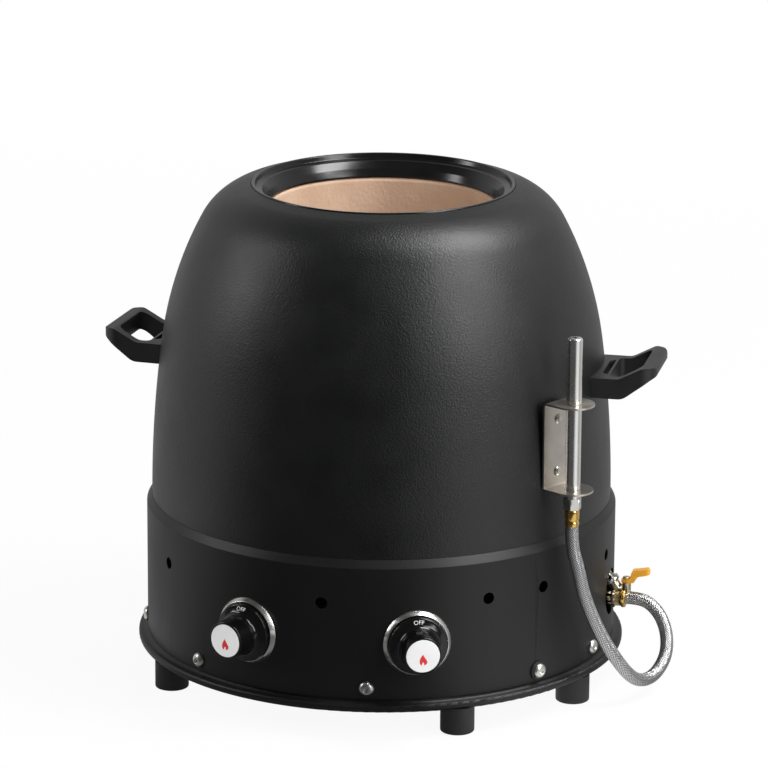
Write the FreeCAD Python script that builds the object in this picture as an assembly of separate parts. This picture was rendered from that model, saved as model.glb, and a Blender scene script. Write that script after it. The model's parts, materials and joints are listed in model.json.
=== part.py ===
import FreeCAD, Part
import math
import os
from FreeCAD import Vector

# A gas-fired clay tandoor oven for the home.
#
# Millimetres, +Z up. The origin is on the floor under the clay pot's axis. An azimuth is in degrees
# from the front (-Y), growing towards +X, the side that carries the pilot valve and the lighting wand.
# Every section is drawn in the XZ plane as (radius or reach, height) and then turned or extruded.

# ---------------------------------------------------------------- driving sizes

SHEET = 1.5                      # painted sheet steel of the pan, skirt and bell
CLEARANCE = 0.3                  # running gap between pieces that are only laid together
FIT = 0.05                       # radial gap of a shaft or screw in its hole

FOOT_HEIGHT = 29.0
FOOT_RADIUS = 17.8
FOOT_CIRCLE = 241.5
FOOT_AZIMUTHS = (-53.5, 31.5, 69.0, 148.0, -128.0)
FOOT_BOLT_RADIUS = 4.0
FOOT_BOLT_HEAD = 5.2
FOOT_BOLT_LENGTH = 14.0

PAN_RADIUS = 259.7
PAN_RIM = 8.5                    # height of the rolled rim that shows under the skirt
PAN_BEND = 3.2
PAN_UPSTAND = 24.5               # ring inside the skirt that takes the skirt's screws
PAN_HOLE_RADIUS = 9.0
PAN_HOLE_CIRCLES = ((70.0, 6), (150.0, 12))

SEAM = 3.0                       # shadow gap between the pan and the skirt
SKIRT_RADIUS = 250.0
SKIRT_HEIGHT = 140.3             # straight wall, up to the bevel
BEVEL_UP = 8.2                   # the bevel leans in to the bell
VENT_RADIUS = 6.2
VENT_HEIGHT = 142.0
VENT_AZIMUTHS = (-50.3, -1.8, 38.5, 54.4, 69.6, 84.0, 104.0, 120.0, 136.0, 152.0,
                 -158.0, -142.0, -126.0, -110.0)
SKIRT_SCREW_HEIGHT = 52.0
SKIRT_SCREW_AZIMUTHS = (-74.6, -36.8, 9.0, 53.0, 75.2, 112.0, 149.0, -172.0, -140.0, -106.0)
WASHERED_SCREW = 53.0            # the one screw that sits on a rubber washer
SCREW_RADIUS = 4.0
SCREW_HEAD_RADIUS = 8.0
SCREW_HEAD_HEIGHT = 4.6
SCREW_SOCKET = 5.0               # across the flats
SCREW_NUT = 13.0                 # across the flats
SCREW_NUT_HEIGHT = 5.0
WASHER_RADIUS = 10.0
WASHER_THICKNESS = 2.0

BELL_RADIUS = 244.4              # at the lower end of its curve
BELL_START_ANGLE = 0.1           # of the outward normal above the horizontal
BELL_ARCS = ((1265.0, 7.8), (385.0, 28.0), (72.3, 80.7))   # radius, normal's angle at its end

RING_GROOVE = 0.5                # fine groove between the bell's edge and the mouth ring
RING_LIP = (130.0, 6.2)          # radius where the mouth ring turns down into the mouth, and its drop
RING_THROAT = (117.8, 19.9)      # radius and drop where it ends on the clay
RING_THICKNESS = 2.0
RING_SPIGOT = 17.0

SHELF_TOP = 170.0                # the plate that carries the pot
SHELF_THICKNESS = 2.0
SHELF_HOLE = 112.0
SHELF_STEP = 10.0                # down to the ledge under the bell
LEG_AZIMUTHS = (52.0, 128.0, -128.0, -52.0)
LEG_CIRCLE = 205.0
LEG_WIDTH = 30.0
LEG_THICKNESS = 3.0
LEG_FLANGE = 26.0
LEG_BOLT_RADIUS = 3.0
LEG_BOLT_HEX = 10.0

POT_FOOT = 158.0                 # radius of the pot's underside
POT_START_ANGLE = -48.0
POT_ARCS = ((120.0, 0.0), (290.0, 34.0), (-60.0, 0.0))
POT_WALL = 20.2
POT_DRAUGHT_HOLE = 92.0
FILL_GAP = 0.4                   # between the fill and what it surrounds

KNOB_AZIMUTH = 20.8
KNOB_HEIGHT = 101.1
KNOB_PUSH = 4.0                  # travel when it is pressed to turn
BEZEL_RADIUS = 35.2
BEZEL_DEPTH = 6.5
BEZEL_LAND = 31.2
BEZEL_FLOOR = 1.5
KNOB_SKIRT_RADIUS = 30.3
KNOB_SKIRT_THICKNESS = 4.2
KNOB_HUB_RADIUS = 19.6
KNOB_REACH = 41.0                # from the skirt to the cap's face
KNOB_CAP_RADIUS = 17.3
STEM_RADIUS = 4.0
STEM_LENGTH = 52.0
STEM_HOLE_RADIUS = 9.0           # in the oven's skirt, round each stem

MANIFOLD_CIRCLE = 222.0
MANIFOLD_HEIGHT = 117.0
MANIFOLD_RADIUS = 7.0
VALVE_BODY_RADIUS = 11.0
VALVE_FRONT = 234.0              # reach of the valve's bonnet from the oven's axis
VALVE_LENGTH = 31.0
JET_LENGTH = 8.0

RING_BURNER_TOP = 142.0
RING_BURNER_BASE = 118.0
BURNER_RINGS = {"outer": (60.0, 84.0, 24), "inner": (20.0, 42.0, 10)}   # radii, ports
PORT_RADIUS = 2.2
PORT_DEPTH = 5.0
VENTURI_MOUTH = 17.0             # radii of the bore
VENTURI_THROAT = 8.0
VENTURI_BORE = 11.0
VENTURI_WALL = 3.0
VENTURI_START = 176.0            # reach of its open mouth
VENTURI_FLARE = 12.0             # its length, then that of the slope down to the throat and on
VENTURI_SLOPE = 14.0
VENTURI_RUN = 20.0
STAND_REACH = 96.0
STAND_FOOT = 20.0
STAND_WIDTH = 24.0
STAND_THICKNESS = 4.0
GUARD_RADIUS = 76.0
GUARD_EYE = 5.0                  # lifting hole at its centre
GUARD_HEIGHT = 176.0
GUARD_DISH = 10.0
GUARD_THICKNESS = 2.5
GUARD_LEG_RADIUS = 3.5

INLET_RADIUS = 10.4              # half-inch pipe thread, over its crests
INLET_REACH = 279.0
INLET_THREAD = 15.0
INLET_HEX = 24.0
INLET_HOLE_RADIUS = 16.0

PILOT_HEIGHT = 87.5
PILOT_HOLE_RADIUS = 25.0
PILOT_HOLE_HEIGHT = 93.5
PILOT_HEX = (244.2, 252.6, 14.5)           # from, to, across the flats
PILOT_FLANGE = (252.6, 255.6, 20.0)
PILOT_BODY = (255.6, 262.2, 9.4)           # from, to, radius
PILOT_RING = (262.2, 266.6, 10.6)
PILOT_NECK = (262.2, 268.5, 7.2)
PILOT_STEM_REACH = 266.6
PILOT_BOSS_RADIUS = 5.0
PILOT_BOSS_TOP = 105.0
PILOT_STEM_RADIUS = 2.4
PILOT_NUT_RADIUS = 4.0
PILOT_NUT_HEIGHT = 2.6
UNION_CENTRE = (250.4, 106.6)              # the plated nut where gas comes in from above
UNION_ANGLE = -57.0                        # of its axis, below the horizontal
UNION_RADIUS = 8.6
FEED_RADIUS = 4.5

LEVER_HUB = 3.4                  # thickness of its hub
LEVER_WIDTH = 9.0
LEVER_THICKNESS = 6.5
LEVER_RISE = 10.5
LEVER_REACH = 25.5

HANDLE_AZIMUTHS = {"left": -95.0, "right": 90.0}
HANDLE_HALF_WIDTH = 47.0
HANDLE_LOW = 319.0               # underside of the arms
HANDLE_ARM = 21.5                # height of the arms
HANDLE_BEND = 265.0              # reach at which the arms turn up
HANDLE_REACH = 300.0
HANDLE_GRIP_RISE = 21.0          # of the grip's underside over the arms'
HANDLE_GRIP_HEIGHT = 13.5
HANDLE_GRIP_DEPTH = 15.5
HANDLE_ARM_WIDTH = 10.5
HANDLE_FOOT_REACH = 249.0        # inner side of the finger gap
HANDLE_SLOT = (240.5, 6.0, 24.0, 29.0)       # reach, depth, and half-widths at its two sides
HANDLE_BOLT_RADIUS = 3.0
HANDLE_BOLT_HEAD = 5.8
HANDLE_BOLT_OFFSET = 36.0
HANDLE_BOLT_LENGTH = 18.0

BRACKET_AZIMUTH = 59.72
BRACKET_THICKNESS = 2.0
BRACKET_BOTTOM = 244.0
BRACKET_TOP = 337.5
BRACKET_HALF_WIDTH = 21.5
BRACKET_BEND = 4.0
BRACKET_SCREW_HEIGHTS = (261.0, 317.0)
BRACKET_SCREW_RADIUS = 2.5
BRACKET_SCREW_HEAD = 5.2

WAND_REACH = 266.0               # of its axis from the oven's axis
WAND_RADIUS = 8.0
WAND_WALL = 1.0
WAND_TOP = 407.0
WAND_HOLE_GAP = 0.6
WAND_NUT = 17.0                  # across the flats
WAND_NUT_TOP = 237.0
WAND_NUT_HEIGHT = 12.2
FERRULE_RADIUS = 7.6
FERRULE_HEIGHT = 18.3

HOSE_RADIUS = 6.6
HOSE_LEAD = 0.45                 # share of the shorter run that each bend takes up
HOSE_FIRST = 14.0                # first and last run, in line with its fittings
HOSE_LAST = 22.0
# Route from the pilot valve down to the lowest point of the loop and up to the wand.
HOSE_ROUTE = ((295.2, -2.6, 82.2), (306.8, -8.0, 70.5), (314.0, -15.5, 53.5), (315.3, -28.0, 35.8),
              (308.7, -45.8, 22.8), (300.4, -64.0, 19.7), (291.2, -81.0, 25.2), (282.3, -94.0, 38.5),
              (272.3, -103.3, 56.5), (260.7, -111.8, 78.7), (250.0, -119.0, 104.7), (241.0, -126.0, 133.0),
              (236.5, -132.1, 161.7))

# ---------------------------------------------------------------- sizes that follow

PAN_TOP = FOOT_HEIGHT + PAN_RIM
UPSTAND_RADIUS = SKIRT_RADIUS - SHEET - 0.1
SKIRT_BOTTOM = PAN_TOP + SEAM
SKIRT_TOP = SKIRT_BOTTOM + SKIRT_HEIGHT
BELL_LIP = BELL_RADIUS + CLEARANCE
BEVEL_IN = SKIRT_RADIUS - BELL_LIP
BELL_START = (BELL_RADIUS, SKIRT_TOP + BEVEL_UP)
BELL_BOTTOM = SHELF_TOP - SHELF_STEP
POT_START = (POT_FOOT, SHELF_TOP)
LEG_BOLT_CIRCLE = LEG_CIRCLE - LEG_FLANGE / 2
HANDLE_BOLT_HEIGHT = HANDLE_LOW + HANDLE_ARM / 2
WAND_NUT_BOTTOM = WAND_NUT_TOP - WAND_NUT_HEIGHT
FERRULE_BOTTOM = WAND_NUT_BOTTOM - FERRULE_HEIGHT
KNOB_BACK = SKIRT_RADIUS + BEZEL_FLOOR + KNOB_PUSH + 0.5
KNOB_FACE = SKIRT_RADIUS + KNOB_REACH
STEM_FRONT = KNOB_FACE - 12.0
STEM_BACK = STEM_FRONT - STEM_LENGTH
INLET_SOCKET = SKIRT_RADIUS - 4.0          # reach where the manifold's tail ends in its fitting
AXIS = Vector(0, 0, 1)

# ---------------------------------------------------------------- ways to draw


def closed(*parts):
    """Face in the XZ plane round points (x, z) and arcs of three points, joined by straight lines."""
    edges = []
    first = last = None
    for part in parts:
        points = [Vector(x, 0, z) for x, z in (part if isinstance(part[0], tuple) else (part,))]
        if last is not None and (points[0] - last).Length > 1e-6:
            edges.append(Part.makeLine(last, points[0]))
        if len(points) == 3:
            edges.append(Part.Arc(*points).toShape())
        first = first or points[0]
        last = points[-1]
    if (last - first).Length > 1e-6:
        edges.append(Part.makeLine(last, first))
    return Part.Face(Part.Wire(edges))


def rounded(*corners):
    """Face in the XZ plane with corners (x, z) or (x, z, fillet radius)."""
    parts = []
    for place, corner in enumerate(corners):
        here = Vector(corner[0], 0, corner[1])
        if len(corner) == 2 or corner[2] <= 0:
            parts.append((here.x, here.z))
            continue
        before = corners[place - 1]
        after = corners[(place + 1) % len(corners)]
        back = (Vector(before[0], 0, before[1]) - here).normalize()
        ahead = (Vector(after[0], 0, after[1]) - here).normalize()
        half = back.getAngle(ahead) / 2
        reach = corner[2] / math.tan(half)
        middle = here + (back + ahead).normalize() * (corner[2] / math.sin(half) - corner[2])
        points = (here + back * reach, middle, here + ahead * reach)
        parts.append(tuple((point.x, point.z) for point in points))
    return closed(*parts)


def sheet(path, thickness):
    """Face of a sheet bent along path, which keeps its thickness on the right of the way it runs.
    A point is (x, z) or (x, z, outside bend radius)."""
    steps = []
    for start, end in zip(path, path[1:]):
        length = math.hypot(end[0] - start[0], end[1] - start[1])
        steps.append(((end[0] - start[0]) / length, (end[1] - start[1]) / length))
    steps = [steps[0]] + steps + [steps[-1]]
    other = []
    for point, before, after in zip(path, steps, steps[1:]):
        square = thickness / (1 + before[0] * after[0] + before[1] * after[1])
        moved = (point[0] + (before[1] + after[1]) * square, point[1] - (before[0] + after[0]) * square)
        left_turn = before[0] * after[1] - before[1] * after[0] > 0
        radius = point[2] if len(point) > 2 else 0.0
        if radius > 0:
            moved += (max(radius + (thickness if left_turn else -thickness), 0.0),)
        other.append(moved)
    return rounded(*path, *reversed(other))


def arc_chain(start, angle, arcs, offset=0.0):
    """Tangent arcs from start, each (radius, angle of the outward normal where it ends), moved
    outwards by offset. A negative radius curves the other way."""
    x, z = start
    angle = math.radians(angle)
    chain = []
    for radius, end_degrees in arcs:
        end = math.radians(end_degrees)
        centre_x = x - radius * math.cos(angle)
        centre_z = z - radius * math.sin(angle)
        turns = (angle, (angle + end) / 2, end)
        chain.append(tuple((centre_x + (radius + offset) * math.cos(turn),
                            centre_z + (radius + offset) * math.sin(turn)) for turn in turns))
        x = centre_x + radius * math.cos(end)
        z = centre_z + radius * math.sin(end)
        angle = end
    return chain


def backwards(chain):
    return [tuple(reversed(arc)) for arc in reversed(chain)]


def turned(face, angle=360.0):
    """Solid of revolution about the Z axis."""
    return face.revolve(Vector(), AXIS, angle)


def extruded(face, half_width):
    """Solid of an XZ face, half_width to each side of it."""
    return face.translated(Vector(0, -half_width, 0)).extrude(Vector(0, 2 * half_width, 0))


def outward(shape, azimuth, height):
    """Turns a shape built along +Z, whose Z is its reach from the oven's axis, to point outwards."""
    lying = shape.rotated(Vector(), Vector(1, 0, 0), 90).translated(Vector(0, 0, height))
    return lying.rotated(Vector(), AXIS, azimuth)


def sideways(shape, azimuth):
    """Turns a shape drawn with +X as its outward reach to the given azimuth."""
    return shape.rotated(Vector(), AXIS, azimuth - 90)


def round_bar(radius, start, end):
    """Cylinder between two points."""
    return Part.makeCylinder(radius, (end - start).Length, start, end - start)


def hexagon(flats, start, end):
    """Hexagonal bar between two points, with one pair of corners up and its ends chamfered."""
    length = (end - start).Length
    corner = flats / math.sqrt(3)
    ring = [Vector(corner * math.cos(math.radians(60 * k + 30)),
                   corner * math.sin(math.radians(60 * k + 30)), 0) for k in range(7)]
    bar = Part.Face(Part.makePolygon(ring)).extrude(Vector(0, 0, length))
    edge = (corner - flats / 2) * 0.9
    round_end = turned(closed((0, 0), (corner - edge, 0), (corner + 0.01, edge * 0.6),
                              (corner + 0.01, length - edge * 0.6), (corner - edge, length), (0, length)))
    bar = bar.common(round_end)
    bar.Placement = FreeCAD.Placement(start, FreeCAD.Rotation(AXIS, end - start))
    return bar


def hole(radius, azimuth, height, start=200.0, end=300.0):
    """Radial cutter."""
    return outward(Part.makeCylinder(radius, end - start, Vector(0, 0, start)), azimuth, height)


def polar(reach, azimuth, height=0.0):
    """Point at a reach and azimuth."""
    turn = math.radians(azimuth)
    return Vector(reach * math.sin(turn), -reach * math.cos(turn), height)


def cut(shape, *cutters):
    return shape.cut(Part.makeCompound(cutters)) if len(cutters) > 1 else shape.cut(cutters[0])


def bell_solid(offset=0.0):
    """Everything inside the bell's outer face moved outwards by offset, down to its lower edge."""
    chain = arc_chain(BELL_START, BELL_START_ANGLE, BELL_ARCS, offset)
    return turned(closed((0, BELL_BOTTOM), (BELL_START[0] + offset, BELL_BOTTOM), *chain,
                         (0, chain[-1][2][1])))


def bell_reach(height):
    """Radius of the bell's outer face at a height on its lowest arc."""
    radius = BELL_ARCS[0][0]
    angle = math.radians(BELL_START_ANGLE)
    rise = math.asin(math.sin(angle) + (height - BELL_START[1]) / radius)
    return BELL_START[0] + radius * (math.cos(rise) - math.cos(angle))


MOUTH_RADIUS, MOUTH_HEIGHT = arc_chain(BELL_START, BELL_START_ANGLE, BELL_ARCS)[-1][2]
POT_TOP = MOUTH_HEIGHT - RING_THROAT[1] - RING_THICKNESS
BRACKET_BACK = bell_reach(BRACKET_BOTTOM) + 0.2


# ---------------------------------------------------------------- base, skirt and bell


def feet():
    """Plain round feet with a rounded lower edge and a blind hole for their bolt."""
    depth = FOOT_HEIGHT - FOOT_BOLT_LENGTH - 1
    foot = turned(rounded((FOOT_BOLT_RADIUS + FIT, FOOT_HEIGHT), (FOOT_BOLT_RADIUS + FIT, depth), (0, depth),
                          (0, 0), (FOOT_RADIUS, 0, 2.0), (FOOT_RADIUS, FOOT_HEIGHT)))
    return [foot.translated(polar(FOOT_CIRCLE, azimuth)) for azimuth in FOOT_AZIMUTHS]


def foot_bolts():
    """Pan-head bolts from inside the pan down into the feet."""
    floor = FOOT_HEIGHT + SHEET
    bolt = turned(rounded((0, floor - FOOT_BOLT_LENGTH), (FOOT_BOLT_RADIUS, floor - FOOT_BOLT_LENGTH),
                          (FOOT_BOLT_RADIUS, floor), (FOOT_BOLT_HEAD, floor),
                          (FOOT_BOLT_HEAD, floor + 3.6, 1.8), (0, floor + 3.6)))
    return [bolt.translated(polar(FOOT_CIRCLE, azimuth)) for azimuth in FOOT_AZIMUTHS]


def base_pan():
    """Round pan with a rolled rim, folded in to an upstand that fits inside the skirt."""
    pan = turned(sheet(((UPSTAND_RADIUS, PAN_TOP + PAN_UPSTAND), (UPSTAND_RADIUS, PAN_TOP),
                        (PAN_RADIUS, PAN_TOP, PAN_BEND), (PAN_RADIUS, FOOT_HEIGHT, PAN_BEND),
                        (0, FOOT_HEIGHT)), SHEET))
    below = FOOT_HEIGHT - SHEET
    cutters = [Part.makeCylinder(PAN_HOLE_RADIUS, 4 * SHEET, polar(circle, 360.0 * k / count, below))
               for circle, count in PAN_HOLE_CIRCLES for k in range(count)]
    cutters += [Part.makeCylinder(FOOT_BOLT_RADIUS + FIT, 4 * SHEET, polar(FOOT_CIRCLE, azimuth, below))
                for azimuth in FOOT_AZIMUTHS]
    cutters += [Part.makeCylinder(LEG_BOLT_RADIUS + FIT, 4 * SHEET, polar(LEG_BOLT_CIRCLE, azimuth, below))
                for azimuth in LEG_AZIMUTHS]
    cutters += [hole(SCREW_RADIUS + CLEARANCE, azimuth, SKIRT_SCREW_HEIGHT)
                for azimuth in SKIRT_SCREW_AZIMUTHS]
    return cut(pan, *cutters)


def skirt():
    """Cylindrical skirt, bevelled in to the bell, with its vents and the holes for gas fittings."""
    slant = math.hypot(BEVEL_IN, BEVEL_UP)
    top = SKIRT_TOP + BEVEL_UP
    under = top - SHEET * slant / BEVEL_IN
    inside = SKIRT_RADIUS - SHEET
    knee = under - (BEVEL_IN - SHEET) * BEVEL_UP / BEVEL_IN
    wall = turned(rounded((SKIRT_RADIUS, SKIRT_BOTTOM), (SKIRT_RADIUS, SKIRT_TOP, 2.0), (BELL_LIP, top),
                          (BELL_LIP, under), (inside, knee), (inside, SKIRT_BOTTOM)))
    cutters = [hole(VENT_RADIUS, azimuth, VENT_HEIGHT) for azimuth in VENT_AZIMUTHS]
    cutters += [hole(SCREW_RADIUS + CLEARANCE, azimuth, SKIRT_SCREW_HEIGHT)
                for azimuth in SKIRT_SCREW_AZIMUTHS]
    cutters += [hole(STEM_HOLE_RADIUS, side * KNOB_AZIMUTH, KNOB_HEIGHT) for side in (-1, 1)]
    cutters += [hole(PILOT_HOLE_RADIUS, 90, PILOT_HOLE_HEIGHT),
                hole(INLET_HOLE_RADIUS, 180, MANIFOLD_HEIGHT)]
    return cut(wall, *cutters)


def skirt_screws():
    """Button-head socket screws through the skirt into the pan's upstand."""
    reach = SCREW_HEAD_RADIUS
    seat = SKIRT_RADIUS
    tip = UPSTAND_RADIUS - SHEET - SCREW_NUT_HEIGHT - 2
    head = closed((0, tip), (SCREW_RADIUS, tip), (SCREW_RADIUS, seat), (reach, seat), (reach, seat + 0.9),
                  ((reach, seat + 0.9), (reach * 0.74, seat + SCREW_HEAD_HEIGHT * 0.78),
                   (reach * 0.3, seat + SCREW_HEAD_HEIGHT)), (0, seat + SCREW_HEAD_HEIGHT))
    screw = turned(head).cut(hexagon(SCREW_SOCKET, Vector(0, 0, seat + 1.4), Vector(0, 0, seat + 9)))
    lifted = screw.translated(Vector(0, 0, WASHER_THICKNESS))
    return [outward(lifted if azimuth == WASHERED_SCREW else screw, azimuth, SKIRT_SCREW_HEIGHT)
            for azimuth in SKIRT_SCREW_AZIMUTHS]


def skirt_nuts():
    """Hexagon nuts behind the pan's upstand."""
    back = UPSTAND_RADIUS - SHEET - 0.15
    nut = hexagon(SCREW_NUT, Vector(0, 0, back - SCREW_NUT_HEIGHT), Vector(0, 0, back))
    nut = nut.cut(Part.makeCylinder(SCREW_RADIUS + FIT, 20, Vector(0, 0, back - 15)))
    return [outward(nut, azimuth, SKIRT_SCREW_HEIGHT) for azimuth in SKIRT_SCREW_AZIMUTHS]


def rubber_washer():
    """The rubber washer under one of the skirt's screws."""
    seat = SKIRT_RADIUS
    ring = rounded((SCREW_RADIUS + CLEARANCE, seat), (WASHER_RADIUS, seat),
                   (WASHER_RADIUS, seat + WASHER_THICKNESS, 0.7),
                   (SCREW_RADIUS + CLEARANCE, seat + WASHER_THICKNESS))
    return outward(turned(ring), WASHERED_SCREW, SKIRT_SCREW_HEIGHT)


def bell_shell():
    """Spun bell: a long, nearly upright wall that rounds over to the mouth."""
    outside = arc_chain(BELL_START, BELL_START_ANGLE, BELL_ARCS)
    inside = arc_chain(BELL_START, BELL_START_ANGLE, BELL_ARCS, -SHEET)
    shell = turned(closed((BELL_START[0], BELL_BOTTOM), *outside, *backwards(inside),
                          (BELL_START[0] - SHEET, BELL_BOTTOM)))
    cutters = handle_bolt_holes(HANDLE_BOLT_RADIUS + FIT)
    cutters += [hole(BRACKET_SCREW_RADIUS + FIT, BRACKET_AZIMUTH, height)
                for height in BRACKET_SCREW_HEIGHTS]
    return cut(shell, *cutters)


def handle_bolt_holes(radius):
    """Cutters across the bell's wall, two for each handle."""
    bars = [Part.makeCylinder(radius, 60, Vector(200, offset, HANDLE_BOLT_HEIGHT), Vector(1, 0, 0))
            for offset in (-HANDLE_BOLT_OFFSET, HANDLE_BOLT_OFFSET)]
    return [sideways(bar, azimuth) for azimuth in HANDLE_AZIMUTHS.values() for bar in bars]


def mouth_ring():
    """Funnel ring that closes the gap between the bell's edge and the clay."""
    rim = MOUTH_RADIUS - RING_GROOVE
    lip, throat = ((radius, MOUTH_HEIGHT - drop) for radius, drop in (RING_LIP, RING_THROAT))
    slope_x, slope_z = lip[0] - throat[0], lip[1] - throat[1]
    length = math.hypot(slope_x, slope_z)
    under = (throat[0] + RING_THICKNESS * slope_z / length, throat[1] - RING_THICKNESS * slope_x / length)
    return turned(rounded((rim, MOUTH_HEIGHT, 0.8), (lip[0], lip[1], 2.0), (throat[0], throat[1], 0.6),
                          (throat[0], throat[1] - RING_THICKNESS), (under[0], throat[1] - RING_THICKNESS),
                          (lip[0] + 1.6, lip[1] - 1.4, 2.0), (rim - RING_THICKNESS, MOUTH_HEIGHT - 3.6),
                          (rim - RING_THICKNESS, MOUTH_HEIGHT - RING_SPIGOT),
                          (rim, MOUTH_HEIGHT - RING_SPIGOT)))


# ---------------------------------------------------------------- pot, fill and shelf


def pot_space():
    """Cutter for the room that the pot takes in the fill, open above and below."""
    chain = arc_chain(POT_START, POT_START_ANGLE, POT_ARCS, FILL_GAP)
    return turned(closed((0, SHELF_TOP - 10), (chain[0][0][0], SHELF_TOP - 10), *chain,
                         (chain[-1][2][0], MOUTH_HEIGHT), (0, MOUTH_HEIGHT)))


def clay_pot():
    """Thick-walled pot: open at the neck, belly below, and a draught hole in its floor."""
    outside = arc_chain(POT_START, POT_START_ANGLE, POT_ARCS)
    inside = arc_chain(POT_START, POT_START_ANGLE, POT_ARCS, -POT_WALL)
    neck_out = outside[-1][2][0]
    neck_in = inside[-1][2][0]
    floor = inside[0][0][1]
    edge = POT_TOP - 5
    return turned(closed((POT_DRAUGHT_HOLE, POT_START[1]), *outside, (neck_out, POT_TOP - 2),
                         (neck_out - 2, POT_TOP), (neck_in + 4, POT_TOP),
                         ((neck_in + 4, POT_TOP), (neck_in + 1.2, POT_TOP - 1.2), (neck_in, edge)),
                         *backwards(inside), (POT_DRAUGHT_HOLE, floor)))


def insulation_fill():
    """Light castable fill between the pot and the bell, clear of the bolts that come through."""
    inside_bell = -SHEET - FILL_GAP
    arcs = BELL_ARCS[:-1] + ((BELL_ARCS[-1][0], 58.0),)
    chain = arc_chain(BELL_START, BELL_START_ANGLE, arcs, inside_bell)
    floor = SHELF_TOP + FILL_GAP
    reach = BELL_START[0] + inside_bell
    fill = turned(closed((POT_DRAUGHT_HOLE, floor), (reach, floor), *chain,
                         (MOUTH_RADIUS, MOUTH_HEIGHT - RING_SPIGOT - FILL_GAP),
                         (POT_DRAUGHT_HOLE, MOUTH_HEIGHT - RING_SPIGOT - FILL_GAP)))
    pockets = handle_bolt_holes(HANDLE_BOLT_HEAD + 1.5)
    pockets += [hole(BRACKET_SCREW_RADIUS + 4, BRACKET_AZIMUTH, height, bell_reach(height) - 16)
                for height in BRACKET_SCREW_HEIGHTS]
    return cut(fill, pot_space(), *pockets)


def pot_shelf():
    """Round plate under the pot, stepped down at its edge to a ledge that carries the bell."""
    ledge = SKIRT_RADIUS - SHEET - CLEARANCE
    step = BELL_START[0] - SHEET - 2.5
    plate = turned(sheet(((SHELF_HOLE, SHELF_TOP - SHELF_THICKNESS),
                          (step - SHELF_THICKNESS, SHELF_TOP - SHELF_THICKNESS),
                          (step - SHELF_THICKNESS, SHELF_TOP - SHELF_STEP - SHELF_THICKNESS),
                          (ledge, SHELF_TOP - SHELF_STEP - SHELF_THICKNESS)), -SHELF_THICKNESS))
    holes = [Part.makeCylinder(LEG_BOLT_RADIUS + FIT, 20, polar(LEG_BOLT_CIRCLE, azimuth, SHELF_TOP - 10))
             for azimuth in LEG_AZIMUTHS]
    return cut(plate, *holes)


def support_legs():
    """Channel legs between the pan and the shelf, their flanges turned to the middle."""
    low = FOOT_HEIGHT + SHEET
    high = SHELF_TOP - SHELF_THICKNESS
    inner = LEG_CIRCLE - LEG_FLANGE
    channel = sheet(((inner, low), (LEG_CIRCLE, low, 4.5), (LEG_CIRCLE, high, 4.5), (inner, high)),
                    -LEG_THICKNESS)
    leg = extruded(channel, LEG_WIDTH / 2)
    leg = leg.cut(Part.makeCylinder(LEG_BOLT_RADIUS + FIT, 200, Vector(LEG_BOLT_CIRCLE, 0, 0)))
    return [sideways(leg, azimuth) for azimuth in LEG_AZIMUTHS]


def leg_bolts():
    """Hexagon-head bolts that hold each leg's flanges to the pan and the shelf."""
    bolts = []
    for azimuth in LEG_AZIMUTHS:
        for under, rise in ((FOOT_HEIGHT, LEG_THICKNESS + SHEET), (SHELF_TOP, -LEG_THICKNESS - SHELF_THICKNESS)):
            side = 1 if rise > 0 else -1
            seat = polar(LEG_BOLT_CIRCLE, azimuth, under + rise)
            up = Vector(0, 0, side)
            head = hexagon(LEG_BOLT_HEX, seat, seat + up * 4)
            bolts.append(head.fuse(round_bar(LEG_BOLT_RADIUS, seat - up * abs(rise), seat + up)))
    return [bolt.removeSplitter() for bolt in bolts]


# ---------------------------------------------------------------- burners


def venturi(end, wall):
    """Half section of a venturi tube's bore, or of its outside with the wall added."""
    flare = VENTURI_START - VENTURI_FLARE
    throat = flare - VENTURI_SLOPE
    run = throat - VENTURI_RUN
    lap = 1.0 if wall == 0 else 0.0
    return rounded((0, end), (VENTURI_BORE + wall, end), (VENTURI_BORE + wall, run - 40, 20),
                   (VENTURI_THROAT + wall, run, 20), (VENTURI_THROAT + wall, throat, 10),
                   (VENTURI_MOUTH + wall, flare, 6), (VENTURI_MOUTH + wall, VENTURI_START + lap),
                   (0, VENTURI_START + lap))


def burner(name, azimuth):
    """Cast ring burner with its venturi tube: bell mouth, throat, widening bore and upturned neck."""
    inner, outer, ports = BURNER_RINGS[name]
    middle = (inner + outer) / 2
    ring = turned(rounded((inner, RING_BURNER_BASE, 1.5), (outer, RING_BURNER_BASE, 1.5),
                          (outer, RING_BURNER_TOP - 7, 2), (middle + 4, RING_BURNER_TOP, 2),
                          (middle - 4, RING_BURNER_TOP, 2), (inner, RING_BURNER_TOP - 7, 2)))
    tube = turned(venturi(middle, VENTURI_WALL))
    bore = turned(venturi(middle + 2, 0.0))
    corner = polar(middle, azimuth, KNOB_HEIGHT)
    neck = Part.makeCylinder(VENTURI_BORE + VENTURI_WALL, RING_BURNER_BASE + 3 - KNOB_HEIGHT, corner)
    elbow = Part.makeSphere(VENTURI_BORE + VENTURI_WALL, corner)
    body = ring.fuse([outward(tube, azimuth, KNOB_HEIGHT), neck, elbow])
    cutters = [outward(bore, azimuth, KNOB_HEIGHT)]
    cutters += [Part.makeCylinder(PORT_RADIUS, PORT_DEPTH + 5,
                                  polar(middle, 360.0 * k / ports, RING_BURNER_TOP - PORT_DEPTH))
                for k in range(ports)]
    return cut(body, *cutters).removeSplitter()


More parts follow.
